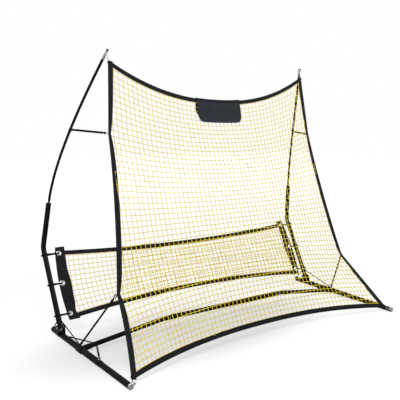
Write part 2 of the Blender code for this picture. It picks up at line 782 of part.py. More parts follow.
def make_pole_tip(side, route):
    name = side_name(side) + "_pole_tip_eye"
    bore = POLE_DIAMETER / 2 + SLIDE_GAP
    outer = bore + TIP_WALL
    shoulder = TIP_WALL + TOUCH_GAP
    neck_top = shoulder + TIP_NECK_LENGTH
    profile = [(0.0, neck_top), (TIP_NECK_RADIUS, neck_top), (TIP_NECK_RADIUS, shoulder + 0.003),
               (outer, shoulder - 0.001), (outer, -TIP_SLEEVE_LENGTH), (bore, -TIP_SLEEVE_LENGTH),
               (bore, TOUCH_GAP), (0.0, TOUCH_GAP)]
    tip = turned(name, profile, route[-1], tip_direction(route), bright_steel())
    add_eye(tip, tip_eye_centre(route), tip_eye_axis(route), name)


def tip_eye_axis(route):
    return Vector((0.0, 0.0, 1.0)).cross(tip_direction(route)).normalized()


# Links between the eyes and the net's corners

def make_link(name, eye, hole_axis, corner, facing):
    down = (corner - eye).normalized()
    across = (hole_axis - down * hole_axis.dot(down)).normalized()
    radius = LINK_HALF_WIDTH
    border = abs(facing.dot(down)) * BORDER_THICKNESS / 2
    length = (corner - eye).length - LINK_WIRE_RADIUS - TOUCH_GAP - border
    near, far = eye + down * radius, eye + down * (length - radius)
    points = []
    steps = 6
    for step in range(steps + 1):
        angle = math.pi * step / steps
        points.append(near + across * radius * math.cos(angle) - down * radius * math.sin(angle))
    for step in range(steps + 1):
        angle = math.pi * step / steps
        points.append(far - across * radius * math.cos(angle) + down * radius * math.sin(angle))
    rod(name, points, LINK_WIRE_RADIUS, bright_steel(), eye, 2, True)


def make_links(side):
    name = side_name(side)
    route = pole_route(side)
    upper_eye, upper_axis = tip_eye_centre(route), tip_eye_axis(route)
    lower_eye = front_eye_centre(side)
    make_link(name + "_upper_net_link", upper_eye, upper_axis, mirrored(NET_TOP_CORNER, side),
              mirrored(net_frame(1.0, 1.0)[0], side))
    make_link(name + "_lower_net_link", lower_eye, front_eye_axis(side), mirrored(NET_BOTTOM_CORNER, side),
              mirrored(net_frame(1.0, 0.0)[0], side))


# Main net surface

def edge_stops():
    corners = (NET_BOTTOM_CORNER, NET_LOWER_TIE, NET_UPPER_TIE, NET_TOP_CORNER)
    lengths = [(corners[i + 1] - corners[i]).length for i in range(3)]
    total = sum(lengths)
    return corners, (0.0, lengths[0] / total, (lengths[0] + lengths[1]) / total, 1.0)


def edge_point(v):
    corners, stops = edge_stops()
    span = 0 if v < stops[1] else 1 if v < stops[2] else 2
    t = (v - stops[span]) / (stops[span + 1] - stops[span])
    return corners[span].lerp(corners[span + 1], t) + NET_EDGE_BOWS[span] * 4 * t * (1 - t)


def net_point(u, v):
    right = edge_point(v)
    left = mirrored(right, -1)
    middle = NET_BOTTOM_CENTRE.lerp(NET_TOP_CENTRE, v)
    blend = 1 - abs(2 * u - 1) ** NET_SAG_POWER
    return left.lerp(right, u) + (middle - Vector((0.0, right.y, right.z))) * blend


def net_frame(u, v):
    step = 0.002
    across = net_point(u + step, v) - net_point(u - step, v)
    top = min(v + step, 1.0)
    upward = (net_point(u, top) - net_point(u, top - 2 * step)).normalized()
    return across.cross(upward).normalized(), upward


def net_stops():
    corners, stops = edge_stops()
    rows = []
    for span, count in enumerate(NET_EDGE_ROWS):
        for step in range(count):
            rows.append(stops[span] + (stops[span + 1] - stops[span]) * step / count)
    rows.append(1.0)
    return [i / NET_COLUMNS for i in range(NET_COLUMNS + 1)], rows


def inner_stops(stops, inset):
    return [inset] + list(stops[1:-1]) + [1 - inset]


def grid_mesh(bm, points):
    rows = [[bm.verts.new(point) for point in row] for row in points]
    for lower, upper in zip(rows, rows[1:]):
        for i in range(len(lower) - 1):
            bm.faces.new((lower[i], lower[i + 1], upper[i + 1], upper[i]))
    return rows


def lattice_mesh(name, points, strand):
    bm = bmesh.new()
    grid_mesh(bm, points)
    bm.normal_update()
    cells = bm.faces[:]
    bmesh.ops.inset_individual(bm, faces=cells, thickness=strand / 2, use_even_offset=True)
    bmesh.ops.delete(bm, geom=cells, context="FACES_ONLY")
    return finish_mesh(name, bm)


def thicken(made, thickness):
    shell = made.modifiers.new("thickness", "SOLIDIFY")
    shell.thickness = thickness
    shell.offset = 0.0
    return made


def net_insets(extra):
    across = (BORDER_WIDTH + extra) / (2 * edge_point(0.5).x)
    upward = (BORDER_WIDTH + extra) / (NET_TOP_CENTRE - NET_BOTTOM_CENTRE).length
    return across, upward


def make_main_net():
    columns, rows = net_stops()
    across, upward = net_insets(TOUCH_GAP * 2)
    inner_columns, inner_rows = inner_stops(columns, across), inner_stops(rows, upward)
    points = [[place(net_point(u, v)) for u in inner_columns] for v in inner_rows]
    net = add_object("main_net", lattice_mesh("main_net", points, STRAND_WIDTH), yellow_twine())
    thicken(net, STRAND_THICKNESS)


def make_main_border():
    columns, rows = net_stops()
    across, upward = net_insets(0.0)
    inner_columns, inner_rows = inner_stops(columns, across), inner_stops(rows, upward)
    outer = [(u, 0.0) for u in columns] + [(1.0, v) for v in rows[1:]]
    outer += [(u, 1.0) for u in reversed(columns[:-1])] + [(0.0, v) for v in reversed(rows[1:-1])]
    inner = [(u, inner_rows[0]) for u in inner_columns] + [(inner_columns[-1], v) for v in inner_rows[1:]]
    inner += [(u, inner_rows[-1]) for u in reversed(inner_columns[:-1])]
    inner += [(inner_columns[0], v) for v in reversed(inner_rows[1:-1])]
    bm = bmesh.new()
    outer_ring = [bm.verts.new(place(net_point(u, v))) for u, v in outer]
    inner_ring = [bm.verts.new(place(net_point(u, v))) for u, v in inner]
    count = len(outer_ring)
    for i in range(count):
        after = (i + 1) % count
        bm.faces.new((outer_ring[i], outer_ring[after], inner_ring[after], inner_ring[i]))
    border = add_object("main_net_border", finish_mesh("main_net_border", bm), black_webbing())
    thicken(border, BORDER_THICKNESS)


def make_header_flap():
    half = FLAP_WIDTH / 2 / (2 * NET_TOP_CORNER.x)
    height = (NET_TOP_CENTRE - NET_BOTTOM_CENTRE).length
    clear = BORDER_THICKNESS / 2 + TOUCH_GAP * 2 + FLAP_THICKNESS / 2
    front_stops = [1 - FLAP_DROP / height * (1 - i / 4) for i in range(5)]
    points = []
    for i in range(FLAP_STEPS + 1):
        u = 0.5 + half * (2 * i / FLAP_STEPS - 1)
        path = []
        for v in front_stops[:-1]:
            path.append(net_point(u, v) + net_frame(u, v)[0] * clear)
        facing, upward = net_frame(u, 1.0)
        for step in range(FLAP_FOLD_STEPS + 1):
            angle = math.pi * step / FLAP_FOLD_STEPS
            around = facing * math.cos(angle) + upward * math.sin(angle)
            path.append(net_point(u, 1.0) + around * clear)
        back = path[-1]
        for step in range(1, 4):
            path.append(back - Vector((0.0, 0.0, FLAP_BACK_DROP * step / 3)))
        points.append([place(point) for point in path])
    bm = bmesh.new()
    grid_mesh(bm, points)
    flap = add_object("header_flap", finish_mesh("header_flap", bm), slate_fabric())
    thicken(flap, FLAP_THICKNESS)


# Rear net, in the plane of the two lower legs

def rear_point(x, height):
    return Vector((x, PIVOT_Y, PIVOT_Z)) + LEG_UP * (REAR_NET_START + height)


def rear_rotation():
    return Matrix((Vector((1.0, 0.0, 0.0)), LEG_UP, Vector((1.0, 0.0, 0.0)).cross(LEG_UP))).transposed()


def rear_levels():
    low, high = 0.0, 1.0
    tape = REAR_TAPE_WIDTH / REAR_NET_SPAN
    inside = [tape + (high - low - 2 * tape) * i / REAR_ROWS for i in range(REAR_ROWS + 1)]
    return [low] + inside + [high]


def sleeve_outer_x(level):
    return SLEEVE_OUTER_X + SLEEVE_BOW * 4 * level * (1 - level)


def rear_net_point(u, level, inset=TOUCH_GAP * 2):
    half = sleeve_outer_x(level) - SLEEVE_WIDTH - inset
    blend = 1 - abs(2 * u - 1) ** 2
    low = REAR_BOTTOM_MARGIN + REAR_BOTTOM_BOW * blend
    high = REAR_NET_HEIGHT - REAR_TOP_MARGIN - REAR_TOP_SAG * blend
    return rear_point(half * (2 * u - 1), low + (high - low) * level)


def make_rear_net():
    columns = [i / REAR_COLUMNS for i in range(REAR_COLUMNS + 1)]
    levels = rear_levels()
    shift = TOUCH_GAP * 2 / REAR_NET_HEIGHT
    inside = [levels[1] + shift] + levels[2:-2] + [levels[-2] - shift]
    points = [[place(rear_net_point(u, level)) for u in columns] for level in inside]
    net = add_object("rear_net", lattice_mesh("rear_net", points, STRAND_WIDTH), yellow_twine())
    thicken(net, STRAND_THICKNESS)
    make_rear_tape("rear_net_top_tape", columns, levels[-2:])
    make_rear_tape("rear_net_bottom_tape", columns, levels[:2])


def make_rear_tape(name, columns, levels):
    bm = bmesh.new()
    grid_mesh(bm, [[place(rear_net_point(u, level)) for u in columns] for level in levels])
    tape = add_object(name, finish_mesh(name, bm), black_webbing())
    thicken(tape, BORDER_THICKNESS)


def make_sleeve(side):
    heights = [0.0] + [height_of_level(level) for level in rear_levels()] + [REAR_NET_HEIGHT]
    edge = list(zip([sleeve_outer_x(level) for level in [0.0] + rear_levels() + [1.0]], heights))
    outline = [(side * x, height) for x, height in edge]
    outline += [(side * (x - SLEEVE_WIDTH), height) for x, height in reversed(edge)]
    holes = [circle(GROMMET_RADIUS, (side * grommet_x(height), height)) for height in GROMMET_HEIGHTS]
    extruded(side_name(side) + "_rear_net_sleeve", [outline] + holes, SLEEVE_THICKNESS, black_webbing(),
             place(rear_point(0.0, 0.0)), rear_rotation())


def height_of_level(level):
    return REAR_BOTTOM_MARGIN + REAR_NET_SPAN * level


def grommet_x(height):
    return sleeve_outer_x((height - REAR_BOTTOM_MARGIN) / REAR_NET_SPAN) - GROMMET_FROM_EDGE


def make_ties(side):
    for label, height in zip(("bottom", "middle", "top"), GROMMET_HEIGHTS):
        centre = leg_point(REAR_NET_START + height, side)
        grommet = rear_point(side * grommet_x(height), height)
        outward = Vector((side, 0.0, 0.0))
        wrap = UPRIGHT_RADIUS + TOUCH_GAP + TIE_CORD_RADIUS
        points = []
        for step in range(TIE_POINTS + 1):
            angle = math.pi * (step / TIE_POINTS - 0.5)
            points.append(centre + outward * wrap * math.cos(angle) + LEG_FRONT * wrap * math.sin(angle))
        for offset_x, offset_front in TIE_LOOP:
            points.append(grommet + outward * offset_x + LEG_FRONT * offset_front)
        name = side_name(side) + "_sleeve_tie_" + label
        rod(name, points, TIE_CORD_RADIUS, black_webbing(), centre, 2, True)


# Side straps and stays

def border_edge(v, side, clearance):
    return mirrored(edge_point(v), side) + Vector((side * clearance, 0.0, 0.0))


def make_upper_strap(side):
    name = side_name(side) + "_upper_side_strap"
    route = pole_route(side)
    middle = POLE_STEPS // 2
    along = (route[middle + 1] - route[middle]).normalized()
    centre = (route[middle + 1] + route[middle]) / 2
    bore = POLE_DIAMETER / 2 + SLIDE_GAP
    outer = bore + STRAP_COLLAR_WALL
    half = STRAP_COLLAR_LENGTH / 2
    profile = [(bore, half), (outer, half), (outer, -half), (bore, -half)]
    strap = turned(name, profile, centre, along, black_webbing(), True)
    tie = border_edge(edge_stops()[1][2], side, TOUCH_GAP + BORDER_THICKNESS / 2)
    toward = (tie - centre).normalized()
    ball = tie - toward * STRAP_BALL_FROM_EDGE
    start = centre + toward * (bore + STRAP_COLLAR_WALL * 0.7)
    combine(strap, mesh_tool(name + "_cord", [start, ball], UPPER_STRAP_RADIUS), "UNION")
    bead = bmesh.new()
    bmesh.ops.create_uvsphere(bead, u_segments=12, v_segments=8, radius=STRAP_BALL_RADIUS)
    combine(strap, cutter_from(name + "_ball", finish_mesh(name + "_ball", bead), place(ball)), "UNION")
    combine(strap, mesh_tool(name + "_loop", [ball, tie], LINK_WIRE_RADIUS), "UNION")


def mesh_tool(name, points, radius):
    placed = [place(point) for point in points]
    return cutter_from(name, curve_mesh(placed, radius, placed[0]), placed[0])


def make_lower_strap(side):
    tie = border_edge(edge_stops()[1][1], side, LOWER_STRAP_RADIUS + TOUCH_GAP)
    hub_end = resting_end(HUB_Y, side, hub_radius(), tie, LOWER_STRAP_RADIUS)
    rod(side_name(side) + "_lower_side_strap", [hub_end, tie], LOWER_STRAP_RADIUS, black_webbing())


def resting_end(y, side, tube_radius, start, radius):
    on_top = rail_point(y, side, RAIL_HEIGHT + tube_radius * FACET + TOUCH_GAP)
    away = (start - on_top).normalized()
    return on_top + Vector((0.0, 0.0, radius * math.sqrt(1 - away.z ** 2)))


def make_upright_stays(side):
    name = side_name(side)
    on_leg = leg_point(UPRIGHT_STAY_HEIGHT, side)
    clear = UPRIGHT_RADIUS + TOUCH_GAP + UPRIGHT_STAY_RADIUS
    front_start = on_leg + LEG_FRONT * clear
    hub_end = resting_end(HUB_Y + UPRIGHT_STAY_FROM_HUB, side, hub_radius(), front_start, UPRIGHT_STAY_RADIUS)
    rod(name + "_upright_stay_front", [front_start, hub_end], UPRIGHT_STAY_RADIUS, black_webbing())
    rear_start = on_leg - LEG_FRONT * clear
    stay_y = RAIL_LENGTH - UPRIGHT_STAY_FROM_RAIL_END
    rail_end = resting_end(stay_y, side, RAIL_RADIUS, rear_start, UPRIGHT_STAY_RADIUS)
    rod(name + "_upright_stay_rear", [rear_start, rail_end], UPRIGHT_STAY_RADIUS, black_webbing(),
        pivot(side))


def build():
    clear_scene()
    for side in (-1, 1):
        make_rail(side)
        make_hub(side)
        make_crossbar_arm(side)
        make_crossbar_stays(side)
        make_upright(side)
        make_pole(side)
        make_links(side)
        make_sleeve(side)
        make_ties(side)
        make_upper_strap(side)
        make_lower_strap(side)
        make_upright_stays(side)
    make_centre_tube()
    make_main_net()
    make_main_border()
    make_header_flap()
    make_rear_net()


build()
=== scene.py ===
# %% [markdown]
# # A soccer rebound net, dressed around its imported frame
#
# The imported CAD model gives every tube, pin and joint its place. This lesson keeps those
# places and adds what a photograph shows: fine knotted netting, webbing edges with
# stitching, vinyl side sleeves, straps, cords and plated fittings. Each step first says
# what the real piece is and why it is made this way, and the code cell then makes it.

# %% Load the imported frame
import json
import math
import random

import bmesh
import bpy
from mathutils import Matrix, Vector, noise
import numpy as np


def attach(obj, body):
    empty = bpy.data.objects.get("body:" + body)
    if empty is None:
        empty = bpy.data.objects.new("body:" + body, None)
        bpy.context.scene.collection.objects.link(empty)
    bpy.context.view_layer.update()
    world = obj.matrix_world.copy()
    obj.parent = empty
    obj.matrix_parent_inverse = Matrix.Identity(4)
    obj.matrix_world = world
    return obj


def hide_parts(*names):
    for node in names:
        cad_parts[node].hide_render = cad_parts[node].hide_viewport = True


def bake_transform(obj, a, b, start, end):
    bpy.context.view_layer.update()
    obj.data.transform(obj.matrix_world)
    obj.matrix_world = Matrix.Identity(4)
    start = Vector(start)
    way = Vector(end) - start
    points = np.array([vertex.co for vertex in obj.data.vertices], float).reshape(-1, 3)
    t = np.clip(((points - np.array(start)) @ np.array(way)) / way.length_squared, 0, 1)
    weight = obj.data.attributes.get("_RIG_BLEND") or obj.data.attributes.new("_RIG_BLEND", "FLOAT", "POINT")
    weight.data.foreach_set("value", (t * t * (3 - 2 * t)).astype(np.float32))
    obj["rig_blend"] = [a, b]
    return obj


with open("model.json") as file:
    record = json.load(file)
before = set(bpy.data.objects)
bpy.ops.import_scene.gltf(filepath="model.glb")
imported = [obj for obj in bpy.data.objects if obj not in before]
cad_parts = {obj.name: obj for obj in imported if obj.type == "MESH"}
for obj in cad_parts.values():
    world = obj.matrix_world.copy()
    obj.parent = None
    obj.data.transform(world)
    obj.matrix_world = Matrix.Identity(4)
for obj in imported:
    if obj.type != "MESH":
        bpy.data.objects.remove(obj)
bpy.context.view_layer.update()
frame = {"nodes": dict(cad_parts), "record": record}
nodes = frame["nodes"]

# %% [markdown]
# ## The camera
#
# The photograph was taken from the front left, a little below the top of the net, with a
# normal lens. The place and the lens come from matching the corners of the frame with the
# same corners in the photograph, so that every later piece can be compared with it.

# %% Place the camera
FOCAL_LENGTH = 47.56
CAMERA_PLACE = (-2.085, -2.7036, 1.1942)
CAMERA_TILT = 83.253
CAMERA_TURN = -34.56

lens = bpy.data.cameras.new("photo_camera")
lens.lens = FOCAL_LENGTH
lens.sensor_width = 36.0
lens.clip_end = 60.0
camera = bpy.data.objects.new("photo_camera", lens)
camera.location = CAMERA_PLACE
camera.rotation_euler = (math.radians(CAMERA_TILT), 0.0, math.radians(CAMERA_TURN))
bpy.context.collection.objects.link(camera)
bpy.context.scene.camera = camera
print("camera at", [round(c, 2) for c in camera.location])

# %% [markdown]
# ## Floor and light
#
# The net stands on a white studio floor that fades into a white background, with a pale
# grey pool of shade under the frame. One large plane is enough: its colour is white far
# from the object and slightly grey below it, and the lamps add the real contact shadows.
# The world is a soft white, which the black paint reflects only dimly.

# %% Make the floor
FLOOR_SIZE = 60.0
SHADE_CENTRE = (-0.32, -0.05, 0.0)
SHADE_SIZE = (1.20, 0.52, 1.0)
SHADE_STOPS = [(0.0, (0.70, 0.70, 0.705)), (0.6, (0.77, 0.77, 0.775)), (1.0, (1.0, 1.0, 1.0))]
FADE_SIZE = (9.0, 9.0, 1.0)
FADE_STOPS = [(0.2, (0.30, 0.30, 0.30)), (1.0, (0.90, 0.90, 0.90))]
FLOOR_GLOW = 0.76
FLOOR_DROP = 0.0005


def add_node(owner, kind, inputs=None, **settings):
    made = owner.node_tree.nodes.new(kind)
    for key, value in settings.items():
        setattr(made, key, value)
    for key, value in (inputs or {}).items():
        if isinstance(value, bpy.types.NodeSocket):
            owner.node_tree.links.new(value, made.inputs[key])
        else:
            made.inputs[key].default_value = value
    return made


def math_of(owner, operation, *values):
    made = add_node(owner, "ShaderNodeMath", dict(enumerate(values)), operation=operation)
    return made.outputs["Value"]


def product(owner, first, second):
    made = add_node(owner, "ShaderNodeVectorMath", {0: first, 1: second}, operation="MULTIPLY")
    return made.outputs["Vector"]


def connect(owner, output, shader, socket):
    owner.node_tree.links.new(output, shader.inputs[socket])


def surface_place(material):
    return add_node(material, "ShaderNodeTexCoord").outputs["Object"]


def new_finish(name, colour, roughness, metallic=0.0, shine=0.5):
    material = bpy.data.materials.new(name)
    material.use_nodes = True
    shader = material.node_tree.nodes["Principled BSDF"]
    settings = {"Base Color": (*colour, 1.0), "Roughness": roughness, "Metallic": metallic,
                "Specular IOR Level": shine}
    for key, value in settings.items():
        shader.inputs[key].default_value = value
    return material, shader


def ramp(owner, factor, stops):
    made = add_node(owner, "ShaderNodeValToRGB", {"Fac": factor})
    elements = made.color_ramp.elements
    while len(elements) < len(stops):
        elements.new(0.5)
    for element, (place, colour) in zip(elements, stops):
        element.position = place
        element.color = (*colour, 1.0)
    return made.outputs["Color"]


def round_fade(material, place, centre, size, stops):
    inputs = {"Vector": place, "Location": centre, "Scale": size}
    centred = add_node(material, "ShaderNodeMapping", inputs, vector_type="TEXTURE")
    distance = add_node(material, "ShaderNodeVectorMath", {0: centred.outputs["Vector"]},
                        operation="LENGTH")
    return ramp(material, distance.outputs["Value"], stops)


def floor_finish():
    material, shader = new_finish("white_studio_floor", (0.8, 0.8, 0.8), 0.9, shine=0.0)
    place = surface_place(material)
    shade = round_fade(material, place, SHADE_CENTRE, SHADE_SIZE, SHADE_STOPS)
    fade = round_fade(material, place, (0.0, 0.0, 0.0), FADE_SIZE, FADE_STOPS)
    rays = add_node(material, "ShaderNodeLightPath").outputs["Is Camera Ray"]
    connect(material, product(material, shade, fade), shader, "Base Color")
    connect(material, shade, shader, "Emission Color")
    connect(material, math_of(material, "MULTIPLY", rays, FLOOR_GLOW), shader, "Emission Strength")
    return material


floor_mesh = bmesh.new()
bmesh.ops.create_grid(floor_mesh, x_segments=2, y_segments=2, size=FLOOR_SIZE / 2)
floor_data = bpy.data.meshes.new("studio_floor")
floor_mesh.to_mesh(floor_data)
floor_mesh.free()
floor = bpy.data.objects.new("studio_floor", floor_data)
floor.location = (0.0, 0.0, -FLOOR_DROP)
floor_data.materials.append(floor_finish())
bpy.context.collection.objects.link(floor)
print("floor", FLOOR_SIZE, "m wide")

# %% Light the scene
WORLD_STRENGTH = 0.42
KEY_POWER = 180.0
FILL_POWER = 60.0
KEY_PLACE = (-2.6, -2.4, 4.6)
FILL_PLACE = (3.2, -1.8, 3.4)
LAMP_SIZE = 3.0
LAMP_AIM = (0.0, 0.0, 0.6)
WHITE = (1.0, 1.0, 1.0, 1.0)


def soft_world():
    world = bpy.data.worlds.new("soft_studio")
    world.use_nodes = True
    nodes_of_world = world.node_tree.nodes
    light = nodes_of_world["Background"]
    light.inputs["Color"].default_value = WHITE
    light.inputs["Strength"].default_value = WORLD_STRENGTH
    seen = add_node(world, "ShaderNodeBackground", {"Color": WHITE, "Strength": 1.0})
    rays = add_node(world, "ShaderNodeLightPath").outputs
    either = math_of(world, "MAXIMUM", rays["Is Camera Ray"], rays["Is Transmission Ray"])
    inputs = {"Fac": either, 1: light.outputs["Background"], 2: seen.outputs["Background"]}
    mix = add_node(world, "ShaderNodeMixShader", inputs)
    connect(world, mix.outputs["Shader"], nodes_of_world["World Output"], "Surface")
    return world


def soft_lamp(name, place, power):
    lamp = bpy.data.lights.new(name, "AREA")
    lamp.shape = "DISK"
    lamp.size = LAMP_SIZE
    lamp.energy = power
    made = bpy.data.objects.new(name, lamp)
    made.location = place
    made.rotation_euler = (Vector(LAMP_AIM) - Vector(place)).to_track_quat("-Z", "Y").to_euler()
    bpy.context.collection.objects.link(made)
    return made


bpy.context.scene.world = soft_world()
bpy.context.scene.view_settings.view_transform = "Standard"
lamps = [soft_lamp("key_lamp", KEY_PLACE, KEY_POWER),
         soft_lamp("fill_lamp", FILL_PLACE, FILL_POWER)]
print("lamps:", [lamp.name for lamp in lamps])

# %% [markdown]
# ## Finishes of the hard parts
#
# The tubes are steel with gloss black paint, which is never perfectly smooth: it has a
# fine orange peel and small patches that shine more or less. A noise texture on object
# coordinates drives roughness and bump, so the pattern stays on the tube when it moves.
# The fittings are zinc-plated steel, brighter and with a soft cloudy shine.

# %% Paint and plating
GRAIN_DEPTH = 0.0002


def grain(material, place, scale, detail=3.0):
    inputs = {"Vector": place, "Scale": scale, "Detail": detail}
    return add_node(material, "ShaderNodeTexNoise", inputs).outputs["Fac"]


def vary_roughness(material, shader, factor, low, high):
    spread = {"Value": factor, "From Min": 0.3, "From Max": 0.7, "To Min": low, "To Max": high}
    made = add_node(material, "ShaderNodeMapRange", spread)
    connect(material, made.outputs["Result"], shader, "Roughness")


def mottled(material, shader, factor, dark, light):
    connect(material, ramp(material, factor, [(0.3, dark), (0.7, light)]), shader, "Base Color")


def bump(material, shader, height, strength, distance):
    inputs = {"Height": height, "Strength": strength, "Distance": distance}
    made = add_node(material, "ShaderNodeBump", inputs)
    connect(material, made.outputs["Normal"], shader, "Normal")


def grained_finish(name, base, tones, scales, roughness, relief, metallic=0.0, shine=0.5):
    material, shader = new_finish(name, *base, metallic, shine)
    place = surface_place(material)
    for_colour, for_roughness, for_relief = scales
    detail, strength = relief
    mottled(material, shader, grain(material, place, for_colour), *tones)
    vary_roughness(material, shader, grain(material, place, for_roughness), *roughness)
    bump(material, shader, grain(material, place, for_relief, detail), strength, GRAIN_DEPTH)
    return material


def plated_steel(name, dark, light):
    return grained_finish(name, (light, 0.3), (dark, light), (60.0, 220.0, 900.0), (0.20, 0.40),
                          (3.0, 0.10), metallic=1.0)


def pole_finish():
    material, shader = new_finish("satin_black_pole", (0.005, 0.005, 0.006), 0.36, shine=0.15)
    stretched = {"Vector": surface_place(material), "Scale": (1.0, 1.0, 0.05)}
    lengthwise = add_node(material, "ShaderNodeMapping", stretched).outputs["Vector"]
    streaks = grain(material, lengthwise, 500.0)
    mottled(material, shader, streaks, (0.003, 0.003, 0.004), (0.008, 0.008, 0.009))
    vary_roughness(material, shader, streaks, 0.30, 0.44)
    bump(material, shader, streaks, 0.12, GRAIN_DEPTH)
    return material


PAINT = grained_finish("gloss_black_paint", ((0.004, 0.004, 0.005), 0.3),
                       ((0.003, 0.003, 0.004), (0.007, 0.007, 0.008)), (14.0, 45.0, 700.0),
                       (0.18, 0.30), (1.0, 0.08), shine=0.14)
PLATING = plated_steel("zinc_plating", (0.60, 0.61, 0.63), (0.82, 0.83, 0.85))
LINK_WIRE_STEEL = plated_steel("drawn_link_wire", (0.20, 0.20, 0.21), (0.34, 0.34, 0.36))
PLASTIC = grained_finish("moulded_black_plastic", ((0.010, 0.010, 0.011), 0.5),
                         ((0.012, 0.012, 0.013), (0.024, 0.024, 0.026)), (40.0, 150.0, 1500.0),
                         (0.42, 0.58), (1.0, 0.25), shine=0.3)
POLE_BLACK = pole_finish()
HARD_FINISHES = {"black_painted_steel": PAINT, "bright_steel": PLATING,
                 "black_plastic": PLASTIC, "black_glass_fibre": POLE_BLACK}
slots = {part["node"]: part["material_slot"] for part in frame["record"]["subparts"]}
for name, node in nodes.items():
    if slots[name] in HARD_FINISHES:
        drawn = name.endswith("upper_net_link")
        for slot in node.material_slots:
            slot.material = LINK_WIRE_STEEL if drawn else HARD_FINISHES[slots[name]]
print("hard parts finished:", sum(slots[name] in HARD_FINISHES for name in nodes))

# %% [markdown]
# ## Finishes of the soft parts
#
# Webbing, fabric and cord are woven, and a weave has a direction. Each woven piece
# carries two numbers on its mesh, "along" and "across", in metres, and the material turns
# them into rows of threads. The twine is a hard twisted yellow cord, so its colour
# changes a little from place to place, and a fine band marks its twist.

# %% Weave, vinyl and twine
# Painted shade on the edge tape: its colour darkens towards the rounded edges, where less light falls.
PAINTED_EDGE_SHADE = [(0.0, (1.0, 1.0, 1.0)), (0.50, (0.9, 0.9, 0.9)), (0.80, (0.40, 0.40, 0.42)),
             (1.0, (0.3, 0.3, 0.32))]
FOLD_SHADE = [(0.46, (0.25, 0.25, 0.27)), (0.54, (1.0, 1.0, 1.0))]
STITCH_COLOUR = (0.075, 0.080, 0.095, 1.0)
STITCH_HALF_WIDTH = 0.0006
TWINE_TONES = [(0.3, (0.84, 0.61, 0.020)), (0.5, (0.92, 0.71, 0.030)), (0.7, (0.96, 0.80, 0.055))]


def mesh_number(material, name):
    return add_node(material, "ShaderNodeAttribute", attribute_name=name).outputs["Fac"]


def wave_of(material, name, pitch):
    turned = math_of(material, "MULTIPLY", mesh_number(material, name), 2 * math.pi / pitch)
    return math_of(material, "SINE", turned)


def woven_finish(name, dark, light, roughness, pitches, depth, sheen):
    material, shader = new_finish(name, dark, roughness, shine=0.15)
    shader.inputs["Sheen Weight"].default_value = sheen
    shader.inputs["Sheen Roughness"].default_value = 0.5
    rows, columns = wave_of(material, "along", pitches[0]), wave_of(material, "across", pitches[1])
    weave = math_of(material, "MULTIPLY", rows, columns)
    spread = {"Value": weave, "From Min": -1.0, "From Max": 1.0, "To Min": 0.25, "To Max": 0.75}
    threads = add_node(material, "ShaderNodeMapRange", spread).outputs["Result"]
    both = math_of(material, "ADD", threads, grain(material, surface_place(material), 30.0))
    mottled(material, shader, math_of(material, "MULTIPLY", both, 0.5), dark, light)
    bump(material, shader, weave, 0.5, depth)
    return material


WEBBING = woven_finish("black_webbing_weave", (0.006, 0.007, 0.009), (0.018, 0.019, 0.024), 0.75,
                       (0.0024, 0.0020), 0.0003, 0.03)
EDGE_TAPE = woven_finish("edge_tape_weave", (0.004, 0.0044, 0.006), (0.012, 0.0132, 0.018), 0.70,
                         (0.0022, 0.0018), 0.0003, 0.02)
FLAP_CLOTH = woven_finish("flap_cloth_weave", (0.014, 0.016, 0.022), (0.029, 0.033, 0.044), 0.72,
                          (0.0016, 0.0016), 0.0002, 0.04)
VINYL = woven_finish("black_vinyl_cloth", (0.005, 0.005, 0.006), (0.012, 0.012, 0.015), 0.42,
                     (0.0030, 0.0030), 0.0001, 0.0)
BLACK_CORD = woven_finish("black_braided_cord", (0.003, 0.003, 0.004), (0.009, 0.009, 0.011), 0.65,
                          (0.0030, 0.0020), 0.0003, 0.01)
PALE_CORD = woven_finish("pale_braided_cord", (0.40, 0.40, 0.39), (0.70, 0.70, 0.68), 0.7,
                         (0.0030, 0.0020), 0.0003, 0.1)


def colour_of(material):
    shader = material.node_tree.nodes["Principled BSDF"]
    return shader, shader.inputs["Base Color"].links[0].from_socket


# Adds the stitch lines, and painted shade that darkens the tape towards its rounded edges.
def sewn_edges_with_painted_shade(material, half_width, stitch_at, stitch_pitch):
    shader, old = colour_of(material)
    from_middle = math_of(material, "ABSOLUTE", mesh_number(material, "across"))
    fade = ramp(material, math_of(material, "DIVIDE", from_middle, half_width), PAINTED_EDGE_SHADE)
    near = math_of(material, "COMPARE", from_middle, stitch_at, STITCH_HALF_WIDTH)
    shown = math_of(material, "GREATER_THAN", wave_of(material, "along", stitch_pitch), -0.3)
    stitch = math_of(material, "MULTIPLY", near, shown)
    inputs = {"Factor": stitch, 6: product(material, old, fade), 7: STITCH_COLOUR}
    mixed = add_node(material, "ShaderNodeMix", inputs, data_type="RGBA")
    connect(material, mixed.outputs[2], shader, "Base Color")


def darker_fold(material, half_height):
    shader, old = colour_of(material)
    from_fold = math_of(material, "ABSOLUTE", mesh_number(material, "along"))
    shade = ramp(material, math_of(material, "DIVIDE", from_fold, 2 * half_height), FOLD_SHADE)
    connect(material, product(material, old, shade), shader, "Base Color")


def twine_finish():
    material, shader = new_finish("yellow_twisted_twine", (0.66, 0.55, 0.055), 0.62, shine=0.2)
    place = surface_place(material)
    tone = ramp(material, grain(material, place, 9.0, 5.0), TWINE_TONES)
    connect(material, tone, shader, "Base Color")
    inputs = {"Vector": place, "Scale": 260.0, "Distortion": 2.0}
    twist = add_node(material, "ShaderNodeTexWave", inputs, wave_type="BANDS",
                     bands_direction="DIAGONAL")
    bump(material, shader, twist.outputs["Fac"], 0.5, 0.0003)
    return material


sewn_edges_with_painted_shade(EDGE_TAPE, half_width=0.0155, stitch_at=0.0112, stitch_pitch=0.0055)
darker_fold(FLAP_CLOTH, half_height=0.022)
TWINE = twine_finish()

# %% [markdown]
# ## Helpers for swept and turned pieces
#
# Most pieces here are one outline that travels along a line: a tape, a cord, a wire ring.
# So one helper starts with the outline, extrudes its edges from station to station and
# closes the ends. It also writes "along" and "across" for the weave. Another helper spins
# a half outline round an axis, for hooks, rollers and grommets. Cloth starts as a flat grid.

